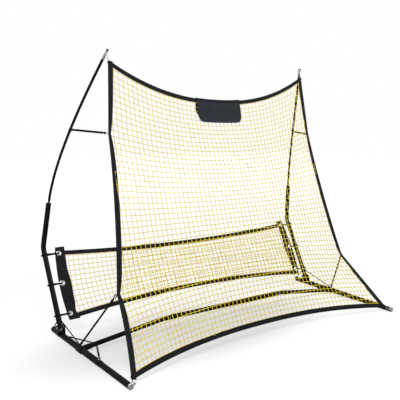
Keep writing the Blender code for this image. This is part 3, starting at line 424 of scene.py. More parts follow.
# %% Sweep and spin helpers
SIDES = (-1, 1)
SIDEWAYS = Vector((1.0, 0.0, 0.0))
FORWARDS = Vector((0.0, 1.0, 0.0))
UPWARDS = Vector((0.0, 0.0, 1.0))


def side_name(side):
    return "left" if side < 0 else "right"


def mirrored(point, side):
    return Vector((side * point[0], point[1], point[2]))


def station(centre, across, direction, width=1.0, depth=1.0):
    along = Vector(direction).normalized()
    first = (Vector(across) - along * Vector(across).dot(along)).normalized()
    second = along.cross(first)
    place = Matrix((first * width, second * depth, along)).transposed().to_4x4()
    place.translation = centre
    return place


def start_mesh():
    bm = bmesh.new()
    bm.verts.layers.float.new("along")
    bm.verts.layers.float.new("across")
    return bm


def sweep(bm, outline, stations, ring=False):
    along_layer = bm.verts.layers.float["along"]
    across_layer = bm.verts.layers.float["across"]
    corners = [bm.verts.new((a, b, 0.0)) for a, b in outline]
    count = len(corners)
    edges = [bm.edges.new((corners[i], corners[(i + 1) % count])) for i in range(count)]
    size = stations[0].to_3x3().col[0].length
    for corner in corners:
        corner[across_layer] = corner.co.x * size
    bmesh.ops.transform(bm, matrix=stations[0], verts=corners)
    first_edges, distance = edges, 0.0
    for before, after in zip(stations, stations[1:]):
        made = bmesh.ops.extrude_edge_only(bm, edges=edges)["geom"]
        corners = [item for item in made if isinstance(item, bmesh.types.BMVert)]
        kept = set(corners)
        edges = [item for item in made if isinstance(item, bmesh.types.BMEdge)
                 and item.verts[0] in kept and item.verts[1] in kept]
        bmesh.ops.transform(bm, matrix=after @ before.inverted(), verts=corners)
        distance += (after.translation - before.translation).length
        for corner in corners:
            corner[along_layer] = distance
    if ring:
        bmesh.ops.bridge_loops(bm, edges=first_edges + edges)
    else:
        bmesh.ops.edgeloop_fill(bm, edges=first_edges)
        bmesh.ops.edgeloop_fill(bm, edges=edges)


def path_stations(points, sideways, ring=False):
    points = [Vector(point) for point in points]
    stations = []
    for i, point in enumerate(points):
        if ring:
            before, after = points[i - 1], points[(i + 1) % len(points)]
        else:
            before, after = points[max(i - 1, 0)], points[min(i + 1, len(points) - 1)]
        stations.append(station(point, sideways, after - before))
    return stations


def turns(count):
    return [2 * math.pi * i / count for i in range(count)]


def straight(start, end, steps):
    return [start.lerp(end, i / steps) for i in range(steps + 1)]


def round_way(first, second, turn):
    return first * math.cos(turn) + second * math.sin(turn)


def circle(centre, first, second, radius, count):
    return [centre + round_way(first, second, turn) * radius for turn in turns(count)]


def round_outline(radius, sides):
    return [(radius * math.cos(turn), radius * math.sin(turn)) for turn in turns(sides)]


def lens_outline(width, middle, edge, steps=4):
    top = []
    for i in range(2 * steps + 1):
        a = i / steps - 1
        top.append((a * width / 2, edge / 2 + (middle - edge) / 2 * math.sqrt(max(0.0, 1 - a * a))))
    return top + [(a, -b) for a, b in reversed(top)]


def spun(bm, profile, place, sides):
    points = [bm.verts.new((radius, 0.0, height)) for radius, height in profile]
    edges = [bm.edges.new(pair) for pair in zip(points, points[1:])]
    bmesh.ops.spin(bm, geom=points + edges, cent=(0, 0, 0), axis=(0, 0, 1), dvec=(0, 0, 0),
                   angle=2 * math.pi, steps=sides, use_merge=True)
    found = {vert for edge in edges for vert in edge.verts}
    grown = list(found)
    while grown:
        reached = {edge.other_vert(vert) for vert in grown for edge in vert.link_edges}
        grown = [vert for vert in reached if vert not in found]
        found.update(grown)
    bmesh.ops.remove_doubles(bm, verts=list(found), dist=0.000001)
    bmesh.ops.transform(bm, matrix=place, verts=[vert for vert in found if vert.is_valid])


def cloth_grid(columns, rows):
    bm = start_mesh()
    bmesh.ops.create_grid(bm, x_segments=columns, y_segments=rows, size=1.0)
    return bm, bm.verts.layers.float["along"], bm.verts.layers.float["across"]


def thicken(bm, thickness):
    bmesh.ops.recalc_face_normals(bm, faces=bm.faces)
    bmesh.ops.solidify(bm, geom=bm.faces[:], thickness=thickness)


def finish_piece(name, bm, look, angle=40.0):
    bmesh.ops.recalc_face_normals(bm, faces=bm.faces)
    mesh = bpy.data.meshes.new(name)
    bm.to_mesh(mesh)
    bm.free()
    mesh.shade_smooth()
    mesh.set_sharp_from_angle(angle=math.radians(angle))
    mesh.materials.append(look)
    made = bpy.data.objects.new(name, mesh)
    bpy.context.collection.objects.link(made)
    return made


def add_cord(bm, path, radius, sideways=UPWARDS, ring=False, sides=8):
    sweep(bm, round_outline(radius, sides), path_stations(path, sideways, ring=ring), ring)


def cord_piece(name, path, radius, look, sideways=UPWARDS, ring=False):
    bm = start_mesh()
    add_cord(bm, path, radius, sideways, ring)
    return finish_piece(name, bm, look)


print("helpers ready")

# %% [markdown]
# ## The surface of the big net
#
# The big net hangs between four corners and two more ties on each side. Its side edges run
# in three shallow bows between the ties, and its middle sags, because the fabric is slack
# between them. The header flap hangs in front of it near the top and presses it back. One
# function gives a point of that surface, and every piece of the net uses it, so that
# twine, edge tape and flap stay together.

# %% The big net's surface
BOTTOM_CORNER = Vector((0.9785, -0.5176, 0.0291))
LOWER_TIE = Vector((0.8913, -0.1870, 0.3575))
UPPER_TIE = Vector((0.7991, 0.0803, 1.2180))
TOP_CORNER = Vector((0.7672, 0.1362, 1.6365))
EDGE_TIES = (BOTTOM_CORNER, LOWER_TIE, UPPER_TIE, TOP_CORNER)
EDGE_BOWS = (Vector((-0.0059, -0.0085, 0.0)), Vector((-0.0134, -0.0001, 0.0)),
             Vector((-0.0004, -0.0008, 0.0)))
TOP_CENTRE = Vector((0.0, 0.1172, 1.4334))
BOTTOM_CENTRE = Vector((0.0, -0.3629, 0.0621))
SAG_POWER = 2.25
NET_BELLY = 0.034
FLAP_PRESS = 0.018
PRESS_LEVEL = 0.885
PRESS_HALF_HEIGHT = 0.075
PRESS_HALF_WIDTH = 0.24
EDGE_LENGTHS = [(b - a).length for a, b in zip(EDGE_TIES, EDGE_TIES[1:])]
EDGE_LENGTH = sum(EDGE_LENGTHS)
TIE_LEVELS = (0.0, EDGE_LENGTHS[0] / EDGE_LENGTH, 1 - EDGE_LENGTHS[2] / EDGE_LENGTH, 1.0)
MIDDLE_HEIGHT = (TOP_CENTRE - BOTTOM_CENTRE).length


def edge_point(level):
    span = 0 if level < TIE_LEVELS[1] else 1 if level < TIE_LEVELS[2] else 2
    t = (level - TIE_LEVELS[span]) / (TIE_LEVELS[span + 1] - TIE_LEVELS[span])
    return EDGE_TIES[span].lerp(EDGE_TIES[span + 1], t) + EDGE_BOWS[span] * 4 * t * (1 - t)


def net_point(across, level):
    right = edge_point(level)
    left = mirrored(right, -1)
    belly = FORWARDS * NET_BELLY * 4 * level * (1 - level)
    middle = BOTTOM_CENTRE.lerp(TOP_CENTRE, level) + belly
    blend = 1 - abs(2 * across - 1) ** SAG_POWER
    x = (2 * across - 1) * right.x
    far = (x / PRESS_HALF_WIDTH) ** 2 + ((level - PRESS_LEVEL) / PRESS_HALF_HEIGHT) ** 2
    sagging = left.lerp(right, across) + (middle - Vector((0.0, right.y, right.z))) * blend
    return sagging + FORWARDS * FLAP_PRESS * math.exp(-far)


def net_facing(across, level, step=0.002):
    low, high = max(level - step, 0.0), min(level + step, 1.0)
    first, last = max(across - step, 0.0), min(across + step, 1.0)
    sideways = net_point(last, level) - net_point(first, level)
    upward = net_point(across, high) - net_point(across, low)
    return sideways.cross(upward).normalized()


print("side ties at levels", [round(level, 3) for level in TIE_LEVELS])

# %% [markdown]
# ## The twine of the big net
#
# The net is cut from one even knotted mesh: its columns run down side by side and simply
# end at the slanting side edges, a bit closer together there, where the net is gathered.
# Its rows reach from side to side. So the cell lays the mesh over the surface, keeps the
# knots that lie inside the tape, moves each by a small seeded amount, and draws the twine
# through them up to the tape.

# %% Tie the big net
MESH_ACROSS = 0.0318
MESH_GATHER = 0.055
MESH_COLUMNS = 34
MESH_ROWS = 50
TAPE_WIDTH = 0.0310
TWINE_END = 0.45 * TAPE_WIDTH
TWINE_RADIUS = 0.0018
KNOT_RADIUS = 0.0034
KNOT_SHAPE = (1.15, 0.8, 0.95, 1.0)
KNOT_SHIFT = 0.0012
TWINE_DROOP = 0.0010
BILLOW = 0.004
BILLOW_SCALE = 2.6
rng = random.Random(11)


def twine_mesh(lines):
    curve = bpy.data.curves.new("cord_lines", "CURVE")
    curve.dimensions = "3D"
    curve.bevel_depth = TWINE_RADIUS
    curve.bevel_resolution = 1
    curve.use_fill_caps = True
    for line in lines:
        spline = curve.splines.new("POLY")
        spline.points.add(len(line) - 1)
        for point, place in zip(spline.points, line):
            point.co = (*place, 1.0)
    holder = bpy.data.objects.new("cord_lines", curve)
    made = bpy.data.meshes.new_from_object(holder)
    bpy.data.objects.remove(holder)
    bpy.data.curves.remove(curve)
    return made


def knot_row(row):
    bm = bmesh.new()
    for knot in row:
        turn = Matrix.Rotation(rng.uniform(0, math.pi), 4, "Y") @ Matrix.Diagonal(KNOT_SHAPE)
        place = Matrix.Translation(knot) @ turn
        bmesh.ops.create_icosphere(bm, subdivisions=1, radius=KNOT_RADIUS, matrix=place)
    made = bpy.data.meshes.new("knot_row")
    bm.to_mesh(made)
    bm.free()
    return made


def with_middles(line, sag):
    path = [line[0]]
    for a, b in zip(line, line[1:]):
        path += [(a + b) / 2 - UPWARDS * sag, b]
    return path


def knotted_net(name, columns, rows, knots):
    lines = [with_middles(line, 0.0) for line in columns]
    lines += [with_middles(line, TWINE_DROOP) for line in rows]
    bm = bmesh.new()
    for made in [twine_mesh(lines)] + [knot_row(row) for row in knots]:
        bm.from_mesh(made)
        bpy.data.meshes.remove(made)
    return finish_piece(name, bm, TWINE, 80.0)


def loosened(place, facing, billow):
    shift = Vector([rng.uniform(-KNOT_SHIFT, KNOT_SHIFT) for _ in range(3)])
    return place + facing * noise.noise(place * BILLOW_SCALE) * billow + shift


def half_width(level):
    return edge_point(min(max(level, 0.0), 1.0)).x


def mesh_spot(column, row):
    level = 1 - row / MESH_ROWS
    x = column * MESH_ACROSS
    x -= MESH_GATHER * x ** 3
    return 0.5 + x / (2 * half_width(level)), level


def inside_net(column, row):
    across, level = mesh_spot(column, row)
    side, end = TWINE_END / (2 * half_width(level)), TWINE_END / MIDDLE_HEIGHT
    return side < across < 1 - side and end < level < 1 - end


def last_inside(inner, outer):
    for _ in range(10):
        middle = ((inner[0] + outer[0]) / 2, (inner[1] + outer[1]) / 2)
        inner, outer = (middle, outer) if inside_net(*middle) else (inner, middle)
    return net_point(*mesh_spot(*inner))


knots = {}
for row in range(1, MESH_ROWS):
    for column in range(-MESH_COLUMNS, MESH_COLUMNS + 1):
        if inside_net(column, row):
            spot = mesh_spot(column, row)
            knots[column, row] = loosened(net_point(*spot), net_facing(*spot), BILLOW)


def twine_through(keys, step):
    first, last = keys[0], keys[-1]
    start = last_inside(first, (first[0] - step[0], first[1] - step[1]))
    end = last_inside(last, (last[0] + step[0], last[1] + step[1]))
    return [start] + [knots[key] for key in keys] + [end]


column_keys = [sorted((key for key in knots if key[0] == column), key=lambda key: key[1])
               for column in range(-MESH_COLUMNS, MESH_COLUMNS + 1)]
row_keys = [sorted(key for key in knots if key[1] == row) for row in range(1, MESH_ROWS)]
columns = [twine_through(keys, (0, 1)) for keys in column_keys if keys]
rows = [twine_through(keys, (1, 0)) for keys in row_keys if keys]
row_knots = [[knots[key] for key in keys] for keys in row_keys if keys]
main_net = knotted_net("main_net_twine", columns, rows, row_knots)
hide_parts("main_net")
print("big net:", len(main_net.data.polygons), "faces")

# %% [markdown]
# ## The edge tape
#
# A dark polyester tape is folded over the edge of the net and sewn through. It is flat
# between the ties, and at each tie the cord gathers it, so there it gets narrow and
# thick. Each side is one swept lens outline whose width follows the distance to the
# nearest tie.

# %% Sew the edge tape
TAPE_THICKNESS = 0.0060
TAPE_EDGE = 0.0044
PINCH_WIDTHS = (0.10, 0.46, 0.54, 0.05)
PINCH_REACHES = (0.03, 0.06, 0.11, 0.03)
LEVEL_PINCH = 0.30
LEVEL_REACH = 0.05
LEVEL_WIDTH = {1: 0.84, -1: 0.95}
TAPE_STEP = 0.003


def pinch(level):
    return max(width * math.exp(-abs(level - tie) * EDGE_LENGTH / reach)
               for tie, width, reach in zip(TIE_LEVELS, PINCH_WIDTHS, PINCH_REACHES))


def side_tape_stations(side, steps=170):
    stations = []
    for i in range(steps + 1):
        level = i / steps
        squeeze = pinch(level)
        inset = TAPE_WIDTH * (1 - squeeze) / 2 / (2 * edge_point(level).x)
        across = inset if side < 0 else 1 - inset
        low, high = max(level - TAPE_STEP, 0.0), min(level + TAPE_STEP, 1.0)
        upward = net_point(across, high) - net_point(across, low)
        sideways = net_point(across + TAPE_STEP, level) - net_point(across - TAPE_STEP, level)
        place = net_point(across, level)
        stations.append(station(place, sideways, upward, 1 - squeeze, 1 + squeeze))
    return stations


def level_tape_stations(end, steps=150):
    stations = []
    for i in range(steps + 1):
        across = i / steps
        from_corner = min(across, 1 - across) * 2 * TOP_CORNER.x
        squeeze = LEVEL_PINCH * math.exp(-from_corner / LEVEL_REACH)
        width = (1 - squeeze) * LEVEL_WIDTH[end]
        inset = TAPE_WIDTH * width / 2 / MIDDLE_HEIGHT
        level = 1 - inset if end > 0 else inset
        first, last = max(across - TAPE_STEP, 0.0), min(across + TAPE_STEP, 1.0)
        sideways = net_point(last, level) - net_point(first, level)
        upward = net_point(across, level + TAPE_STEP) - net_point(across, level - TAPE_STEP)
        stations.append(station(net_point(across, level), upward, sideways, width, 1 + squeeze))
    return stations


tape_outline = lens_outline(TAPE_WIDTH, TAPE_THICKNESS, TAPE_EDGE)
tape_bm = start_mesh()
for stations in (side_tape_stations(-1), side_tape_stations(1),
                 level_tape_stations(1), level_tape_stations(-1)):
    sweep(tape_bm, tape_outline, stations)
edge_tape = finish_piece("main_net_edge_tape", tape_bm, EDGE_TAPE)
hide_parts("main_net_border")
print("edge tape:", len(edge_tape.data.polygons), "faces")

# %% [markdown]
# ## The header flap
#
# A cloth panel is folded over the top tape in the middle and hangs down in front and
# behind. Its lower corners are rounded. It starts as a flat grid, which is then laid up
# the front along the net's surface, round the tape, and straight down the back.

# %% Hang the header flap
FLAP_WIDTH = 0.345
FLAP_DROP = 0.157
FLAP_BACK_DROP = 0.105
FLAP_CORNER = 0.042
HEM_WIDTH = 0.010
HEM_LIFT = 0.0009
FLAP_STAND_OFF = 0.0045
FLAP_THICKNESS = 0.0012
FLAP_CLEAR = 0.0042
FLAP_FOLD = math.pi * FLAP_CLEAR
FLAP_EASE = 0.05
FLAP_FLUTTER = 0.004
FLUTTER_SCALE = 9
FLAP_WRINKLE = 0.0016
WRINKLE_SCALE = (16, 12)
FLAP_CURL = 0.004
CURL_FROM = 0.6
FLAP_COLUMNS = 56
FLAP_ROWS = 52


def rounded_drop(x, drop):
    over = max(0.0, abs(x) - (FLAP_WIDTH / 2 - FLAP_CORNER))
    return drop - FLAP_CORNER + math.sqrt(max(0.0, FLAP_CORNER ** 2 - over ** 2))


def flap_point(x, run, lift):
    across = 0.5 + x / (2 * TOP_CORNER.x)
    top, facing = net_point(across, 1.0), net_facing(across, 1.0)
    down = abs(run) - FLAP_FOLD / 2
    if down <= 0:
        upward = (top - net_point(across, 0.995)).normalized()
        turn = run / FLAP_FOLD * math.pi
        return top + round_way(upward, facing, turn) * (FLAP_CLEAR + lift)
    if run < 0:
        uneven = noise.noise(Vector((x * FLUTTER_SCALE, down * FLUTTER_SCALE, 5.0)))
        flutter = FORWARDS * FLAP_FLUTTER * uneven * down / FLAP_BACK_DROP
        return top - facing * (FLAP_CLEAR + lift) + flutter - UPWARDS * down
    level = 1 - down / MIDDLE_HEIGHT
    eased = min(1.0, down / FLAP_EASE)
    uneven = noise.noise(Vector((x * WRINKLE_SCALE[0], down * WRINKLE_SCALE[1], run)))
    wrinkle = FLAP_WRINKLE * uneven * eased
    curl = FLAP_CURL * max(0.0, (down / FLAP_DROP - CURL_FROM) / (1 - CURL_FROM)) ** 2
    clear = FLAP_CLEAR + FLAP_STAND_OFF * eased
    return net_point(across, level) + net_facing(across, level) * (clear + lift + curl + wrinkle)


flap_bm, flap_along, flap_across = cloth_grid(FLAP_COLUMNS, FLAP_ROWS)
for vert in flap_bm.verts:
    x = vert.co.x * FLAP_WIDTH / 2
    reach = rounded_drop(x, FLAP_DROP if vert.co.y > 0 else FLAP_BACK_DROP) + FLAP_FOLD / 2
    run = vert.co.y * reach
    vert[flap_along], vert[flap_across] = run, x
    rim = min(reach - abs(run), FLAP_WIDTH / 2 - abs(x))
    vert.co = flap_point(x, run, HEM_LIFT if rim < HEM_WIDTH else 0.0)
thicken(flap_bm, FLAP_THICKNESS)
header_flap = finish_piece("header_flap_cloth", flap_bm, FLAP_CLOTH)
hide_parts("header_flap")
print("flap:", len(header_flap.data.polygons), "faces")

# %% [markdown]
# ## The rear net
#
# Between the lower legs hangs a second, lower net from the same twine. It is slack, so its
# top tape sags and its bottom tape bows up in the middle.

# %% Tie the rear net
PIVOT = Vector((1.0363, 0.2985, 0.05835))
LEG_LEAN = math.radians(28.4)
LEG_SPLAY = math.tan(math.radians(1.1))
LEG_UP = Vector((0.0, math.sin(LEG_LEAN), math.cos(LEG_LEAN)))
LEG_FRONT = Vector((0.0, -LEG_UP.z, LEG_UP.y))
REAR_NET_START = 0.033
REAR_NET_HEIGHT = 0.468
SLEEVE_OUTER_X = 0.9740
SLEEVE_WIDTH = 0.064
SLEEVE_BOW = 0.019
REAR_MARGIN = 0.008
REAR_TOP_MARGIN = 0.026
REAR_TOP_SAG = 0.038
REAR_BOTTOM_BOW = 0.052
REAR_TAPE_WIDTH = 0.028
REAR_SPAN = REAR_NET_HEIGHT - REAR_MARGIN - REAR_TOP_MARGIN
REAR_COLUMNS = 59
REAR_ROWS = 13
REAR_BILLOW = 0.008
REAR_TWINE_END = 0.35 * REAR_TAPE_WIDTH / REAR_NET_HEIGHT
SLEEVE_LAP = 0.012


def rear_point(x, height):
    return Vector((x, PIVOT.y, PIVOT.z)) + LEG_UP * (REAR_NET_START + height)


def sleeve_outer(level):
    return SLEEVE_OUTER_X + SLEEVE_BOW * 4 * level * (1 - level)


def rear_spot(across, level):
    half = sleeve_outer(level) - SLEEVE_WIDTH + SLEEVE_LAP
    blend = 1 - abs(2 * across - 1) ** 2
    low = REAR_MARGIN + REAR_BOTTOM_BOW * blend
    high = REAR_NET_HEIGHT - REAR_TOP_MARGIN - REAR_TOP_SAG * blend
    return rear_point(half * (2 * across - 1), low + (high - low) * level)


def inside_rear(across, level):
    return rear_spot(across, min(max(level, REAR_TWINE_END), 1 - REAR_TWINE_END))


rear_grid = [[inside_rear(i / REAR_COLUMNS, j / REAR_ROWS) for i in range(REAR_COLUMNS + 1)]
             for j in range(REAR_ROWS + 1)]
for row in rear_grid[1:-1]:
    row[1:-1] = [loosened(place, LEG_FRONT, REAR_BILLOW) for place in row[1:-1]]
rear_columns = [[row[i] for row in rear_grid] for i in range(1, REAR_COLUMNS)]
rear_knots = [row[1:-1] for row in rear_grid[1:-1]]
rear_net = knotted_net("rear_net_twine", rear_columns, rear_grid[1:-1], rear_knots)
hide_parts("rear_net")
print("rear net:", len(rear_net.data.polygons), "faces")


def rear_tape(name, level, steps=120):
    bm = start_mesh()
    shift = REAR_TAPE_WIDTH / 2 / REAR_SPAN
    centre_level = level + (shift if level < 0.5 else -shift)
    points = [rear_spot(i / steps, centre_level) for i in range(steps + 1)]
    outline = lens_outline(REAR_TAPE_WIDTH, TAPE_THICKNESS, TAPE_EDGE)
    sweep(bm, outline, path_stations(points, LEG_UP))
    return finish_piece(name, bm, EDGE_TAPE)


rear_top = rear_tape("rear_net_top_binding", 1.0)
rear_bottom = rear_tape("rear_net_bottom_binding", 0.0)
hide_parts("rear_net_top_tape")
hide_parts("rear_net_bottom_tape")
print("rear tapes:", [len(tape.data.polygons) for tape in (rear_top, rear_bottom)], "faces")

# %% [markdown]
# ## The side sleeves of the rear net
#
# Each side of the rear net ends in a strip of glossy black vinyl with three plated
# grommets. It is widest at its corners, because the tapes pull there, and narrow between
# them.

# %% Cut the vinyl sleeves
SLEEVE_PROFILE = ((0.0, 0.070), (0.05, 0.068), (0.10, 0.060), (0.25, 0.073),
                  (0.5, 0.078), (0.75, 0.068), (0.95, 0.062), (1.0, 0.060))
SLEEVE_THICKNESS = 0.0016
SLEEVE_STAND = 0.0028
SLEEVE_FOLD = 0.0022
FOLD_WAVE = (14, 3)
SLEEVE_RUMPLE = 0.0014
RUMPLE_SCALE = (2.5, 9)
SLEEVE_COLUMNS = 20
SLEEVE_ROWS = 150
GROMMET_HEIGHTS = (0.040, 0.2335, 0.427)
GROMMET_FROM_EDGE = 0.022
GROMMET_HOLE = 0.0080
GROMMET_RIM = 0.0178
GROMMET_MIDDLE = (GROMMET_HOLE + GROMMET_RIM) / 2
GROMMET_CROWN = 0.0027
CROWN_HALF_WIDTH = 0.001
CUT_BEYOND = 0.0004


def sleeve_width(t):
    for (a, low), (b, high) in zip(SLEEVE_PROFILE, SLEEVE_PROFILE[1:]):
        if t <= b:
            share = (t - a) / (b - a)
            share = share * share * (3 - 2 * share)
            return low + (high - low) * share
    return SLEEVE_PROFILE[-1][1]


def sleeve_point(side, inward, level):
    x = sleeve_outer(level) - inward * sleeve_width(level)
    wave = math.sin(FOLD_WAVE[0] * level + FOLD_WAVE[1] * inward + side)
    uneven = noise.noise(Vector((inward * RUMPLE_SCALE[0] + side, level * RUMPLE_SCALE[1], 0.3)))
    fold = SLEEVE_FOLD * wave * inward + SLEEVE_RUMPLE * uneven
    return rear_point(side * x, level * REAR_NET_HEIGHT) + LEG_FRONT * (fold + SLEEVE_STAND)


def grommet_place(side, height):
    x = sleeve_outer((height - REAR_MARGIN) / REAR_SPAN) - GROMMET_FROM_EDGE
    return rear_point(side * x, height) + LEG_FRONT * SLEEVE_STAND


def make_grommets(side):
    bm = start_mesh()
    upright = Matrix((SIDEWAYS, LEG_UP, -LEG_FRONT)).transposed().to_4x4()
    inner, outer = GROMMET_MIDDLE - CROWN_HALF_WIDTH, GROMMET_MIDDLE + CROWN_HALF_WIDTH
    front = [(GROMMET_HOLE, 0.0016), (inner, GROMMET_CROWN), (outer, GROMMET_CROWN),
             (GROMMET_RIM, 0.0014)]
    back = [(radius, -height) for radius, height in reversed(front)]
    profile = back[-1:] + front + back
    for height in GROMMET_HEIGHTS:
        place = upright.copy()
        place.translation = grommet_place(side, height)
        spun(bm, profile, place, 28)
    return finish_piece(side_name(side) + "_sleeve_grommets", bm, PLATING)


def make_sleeve(side):
    bm, along, across = cloth_grid(SLEEVE_COLUMNS, SLEEVE_ROWS)
    for vert in bm.verts:
        inward, level = (vert.co.x + 1) / 2, (vert.co.y + 1) / 2
        vert[along], vert[across] = level * REAR_NET_HEIGHT, inward * SLEEVE_WIDTH
        vert.co = sleeve_point(side, inward, level)
    holes = [grommet_place(side, height) for height in GROMMET_HEIGHTS]
    inside = GROMMET_MIDDLE + CUT_BEYOND
    cut = [face for face in bm.faces
           if min((face.calc_center_median() - hole).length for hole in holes) < inside]
    bmesh.ops.delete(bm, geom=cut, context="FACES")
    thicken(bm, SLEEVE_THICKNESS)
    made = finish_piece(side_name(side) + "_rear_net_vinyl_sleeve", bm, VINYL)
    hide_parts(side_name(side) + "_rear_net_sleeve")
    return made


sleeves = {side: make_sleeve(side) for side in SIDES}
grommets = {side: make_grommets(side) for side in SIDES}
print("sleeves:", [len(o.data.polygons) for o in sleeves.values()])

# %% [markdown]
# ## Bodies
#
# The two uprights fold. The rear net and its tapes and sleeves go with them, and the big
# net bends between the fixed bottom frame and the uprights.

# %% Tie the soft pieces to the bodies
FOLD_START = Vector((0.0, BOTTOM_CORNER.y, BOTTOM_CORNER.z))
FOLD_END = Vector((0.0, TOP_CORNER.y, TOP_CORNER.z))

for piece in (main_net, edge_tape, header_flap):
    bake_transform(piece, "base_frame", "left_upright", FOLD_START, FOLD_END)
for piece in (rear_net, rear_top, rear_bottom):
    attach(piece, "left_upright")
for side in SIDES:
    for piece in (sleeves[side], grommets[side]):
        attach(piece, side_name(side) + "_upright")
print("tied:", "3 bending pieces,", 3 + 2 * len(SIDES), "riding pieces")

# %% [markdown]
# ## Ties of the sleeves
#
# Three elastic cords hold each sleeve to its upright. Each is a loop: it goes round the
# tube, both strands run to the grommet, and the loop passes through its hole. A knot
# draws the strands together near the grommet.

# %% Tie the sleeves to the uprights
UPRIGHT_RADIUS = 0.016
TIE_RADIUS = 0.0044
TIE_KNOT_RADIUS = 0.0074
TIE_LABELS = ("bottom", "middle", "top")
TIE_CLEAR = 0.0004
KNOT_SHARE = 0.30
BESIDE_HOLE = 0.006
STRAND_APART = 0.0052
KNOT_FRONT = 0.005
KNOT_BACK = 0.004
KNOT_TURN_STEPS = 28
KNOT_CORE = 0.62
KNOT_SWELL = 0.18
KNOT_RISE = 0.45
KNOT_CORD = 0.46


def leg_place(distance, side):
    return mirrored(PIVOT, side) + Vector((side * LEG_SPLAY, LEG_UP.y, LEG_UP.z)) * distance


def smooth_path(points, steps, closed=False):
    count = len(points)
    points = [Vector(point) for point in points]
    path = []
    for i in range(count if closed else count - 1):
        if closed:
            a, b, c, d = (points[(i + k - 1) % count] for k in range(4))
        else:
            a, b, c, d = (points[min(max(i + k - 1, 0), count - 1)] for k in range(4))
        for step in range(steps):
            t = step / steps
            path.append(((b * 2) + (c - a) * t + (a * 2 - b * 5 + c * 4 - d) * t * t
                         + (b * 3 - a - c * 3 + d) * t ** 3) / 2)
    return path if closed else path + [points[-1]]


def add_knot(bm, centre, direction, radius):
    along = Vector(direction).normalized()
    first = along.orthogonal().normalized()
    second = along.cross(first)
    path = []
    for turn in turns(KNOT_TURN_STEPS):
        swell = radius * (KNOT_CORE + KNOT_SWELL * math.cos(2 * turn))
        rise = along * radius * KNOT_RISE * math.sin(2 * turn)
        path.append(centre + round_way(first, second, turn) * swell + rise)
    add_cord(bm, path, radius * KNOT_CORD, along, ring=True)
    bmesh.ops.create_icosphere(bm, subdivisions=2, radius=radius * KNOT_CORE,
                               matrix=Matrix.Translation(centre))


def make_tie(side, label, height):
    name = side_name(side)
    leg = leg_place(REAR_NET_START + height, side)
    hole = grommet_place(side, height)
    outward = Vector((side, 0.0, 0.0))
    wrap = UPRIGHT_RADIUS + TIE_RADIUS + TIE_CLEAR
    angles = [math.pi * (i / 8 - 0.5) for i in range(9)]
    points = [leg + round_way(outward, LEG_FRONT, angle) * wrap for angle in angles]
    knot_place = hole + outward * (leg - hole).length * KNOT_SHARE
    by_hole = hole + outward * BESIDE_HOLE
    points += [knot_place + LEG_FRONT * KNOT_FRONT, by_hole + LEG_FRONT * STRAND_APART, hole,
               by_hole - LEG_FRONT * STRAND_APART, knot_place - LEG_FRONT * KNOT_BACK]
    loop = smooth_path(points, 4, closed=True)
    cord = cord_piece(name + "_sleeve_cord_" + label, loop, TIE_RADIUS, BLACK_CORD, LEG_UP, True)
    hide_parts(name + "_sleeve_tie_" + label)
    knot_bm = start_mesh()
    add_knot(knot_bm, knot_place, outward, TIE_KNOT_RADIUS)
    look = PALE_CORD if label == "middle" and side < 0 else BLACK_CORD
    knot = finish_piece(name + "_sleeve_knot_" + label, knot_bm, look)
    for piece in (cord, knot):
        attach(piece, name + "_upright")
    return cord


ties = [make_tie(side, label, height)
        for side in SIDES for label, height in zip(TIE_LABELS, GROMMET_HEIGHTS)]
print("ties:", len(ties))

# %% [markdown]
# ## Upper side straps
#
# Each pole pulls the net's side edge back with a short strap. It has a webbing loop round
# the pole, a braided cord, a moulded hook, a ball that stops the cord, and a wire link in
# the tape's tie. The cord is taut, so it is straight.

# %% Make the upper side straps
POLE_RADIUS = 0.0065
STRAP_ON_POLE = Vector((0.91634, 0.35856, 1.2412))
POLE_AT_STRAP = Vector((-0.26109, -0.3802, 0.88729))
COLLAR_WIDTH = 0.020
COLLAR_THICKNESS = 0.0032
COLLAR_CLEAR = 0.0003
CORD_FROM_POLE = 0.002
CORD_IN_HOOK = 0.004
STRAP_CORD_RADIUS = 0.0064
STOP_BALL_RADIUS = 0.0078
LINK_WIRE = 0.0013
LINK_HALF_WIDTH = 0.0035
LINK_TO_TIE = 0.004
LINK_IN_BALL = 0.002
BALL_TO_TIE = 0.026
HOOK_TO_TIE = 0.054


def strap_line(side):
    pole, tie = mirrored(STRAP_ON_POLE, side), mirrored(UPPER_TIE, side)
    return pole, tie, (tie - pole).normalized()


def collar_piece(name, look, centre, along, radius, width, thickness):
    first = Vector(along).orthogonal().normalized()
    second = Vector(along).normalized().cross(first)
    path = circle(centre, first, second, radius + thickness / 2 + COLLAR_CLEAR, 24)
    bm = start_mesh()
    outline = lens_outline(width, thickness, thickness * 0.6)
    sweep(bm, outline, path_stations(path, along, ring=True), True)
    return finish_piece(name, bm, look)


def link_path(start, end, across):
    along = (end - start).normalized()
    side_way = (across - along * across.dot(along)).normalized()
    path = []
    for centre, way in ((start + along * LINK_HALF_WIDTH, 1), (end - along * LINK_HALF_WIDTH, -1)):
        for i in range(9):
            out = round_way(side_way, -along, math.pi * i / 8)
            path.append(centre + out * LINK_HALF_WIDTH * way)
    return path, along.cross(side_way)


def bead_place(centre, along):
    return Matrix.Translation(centre) @ Vector(along).to_track_quat("Z", "Y").to_matrix().to_4x4()


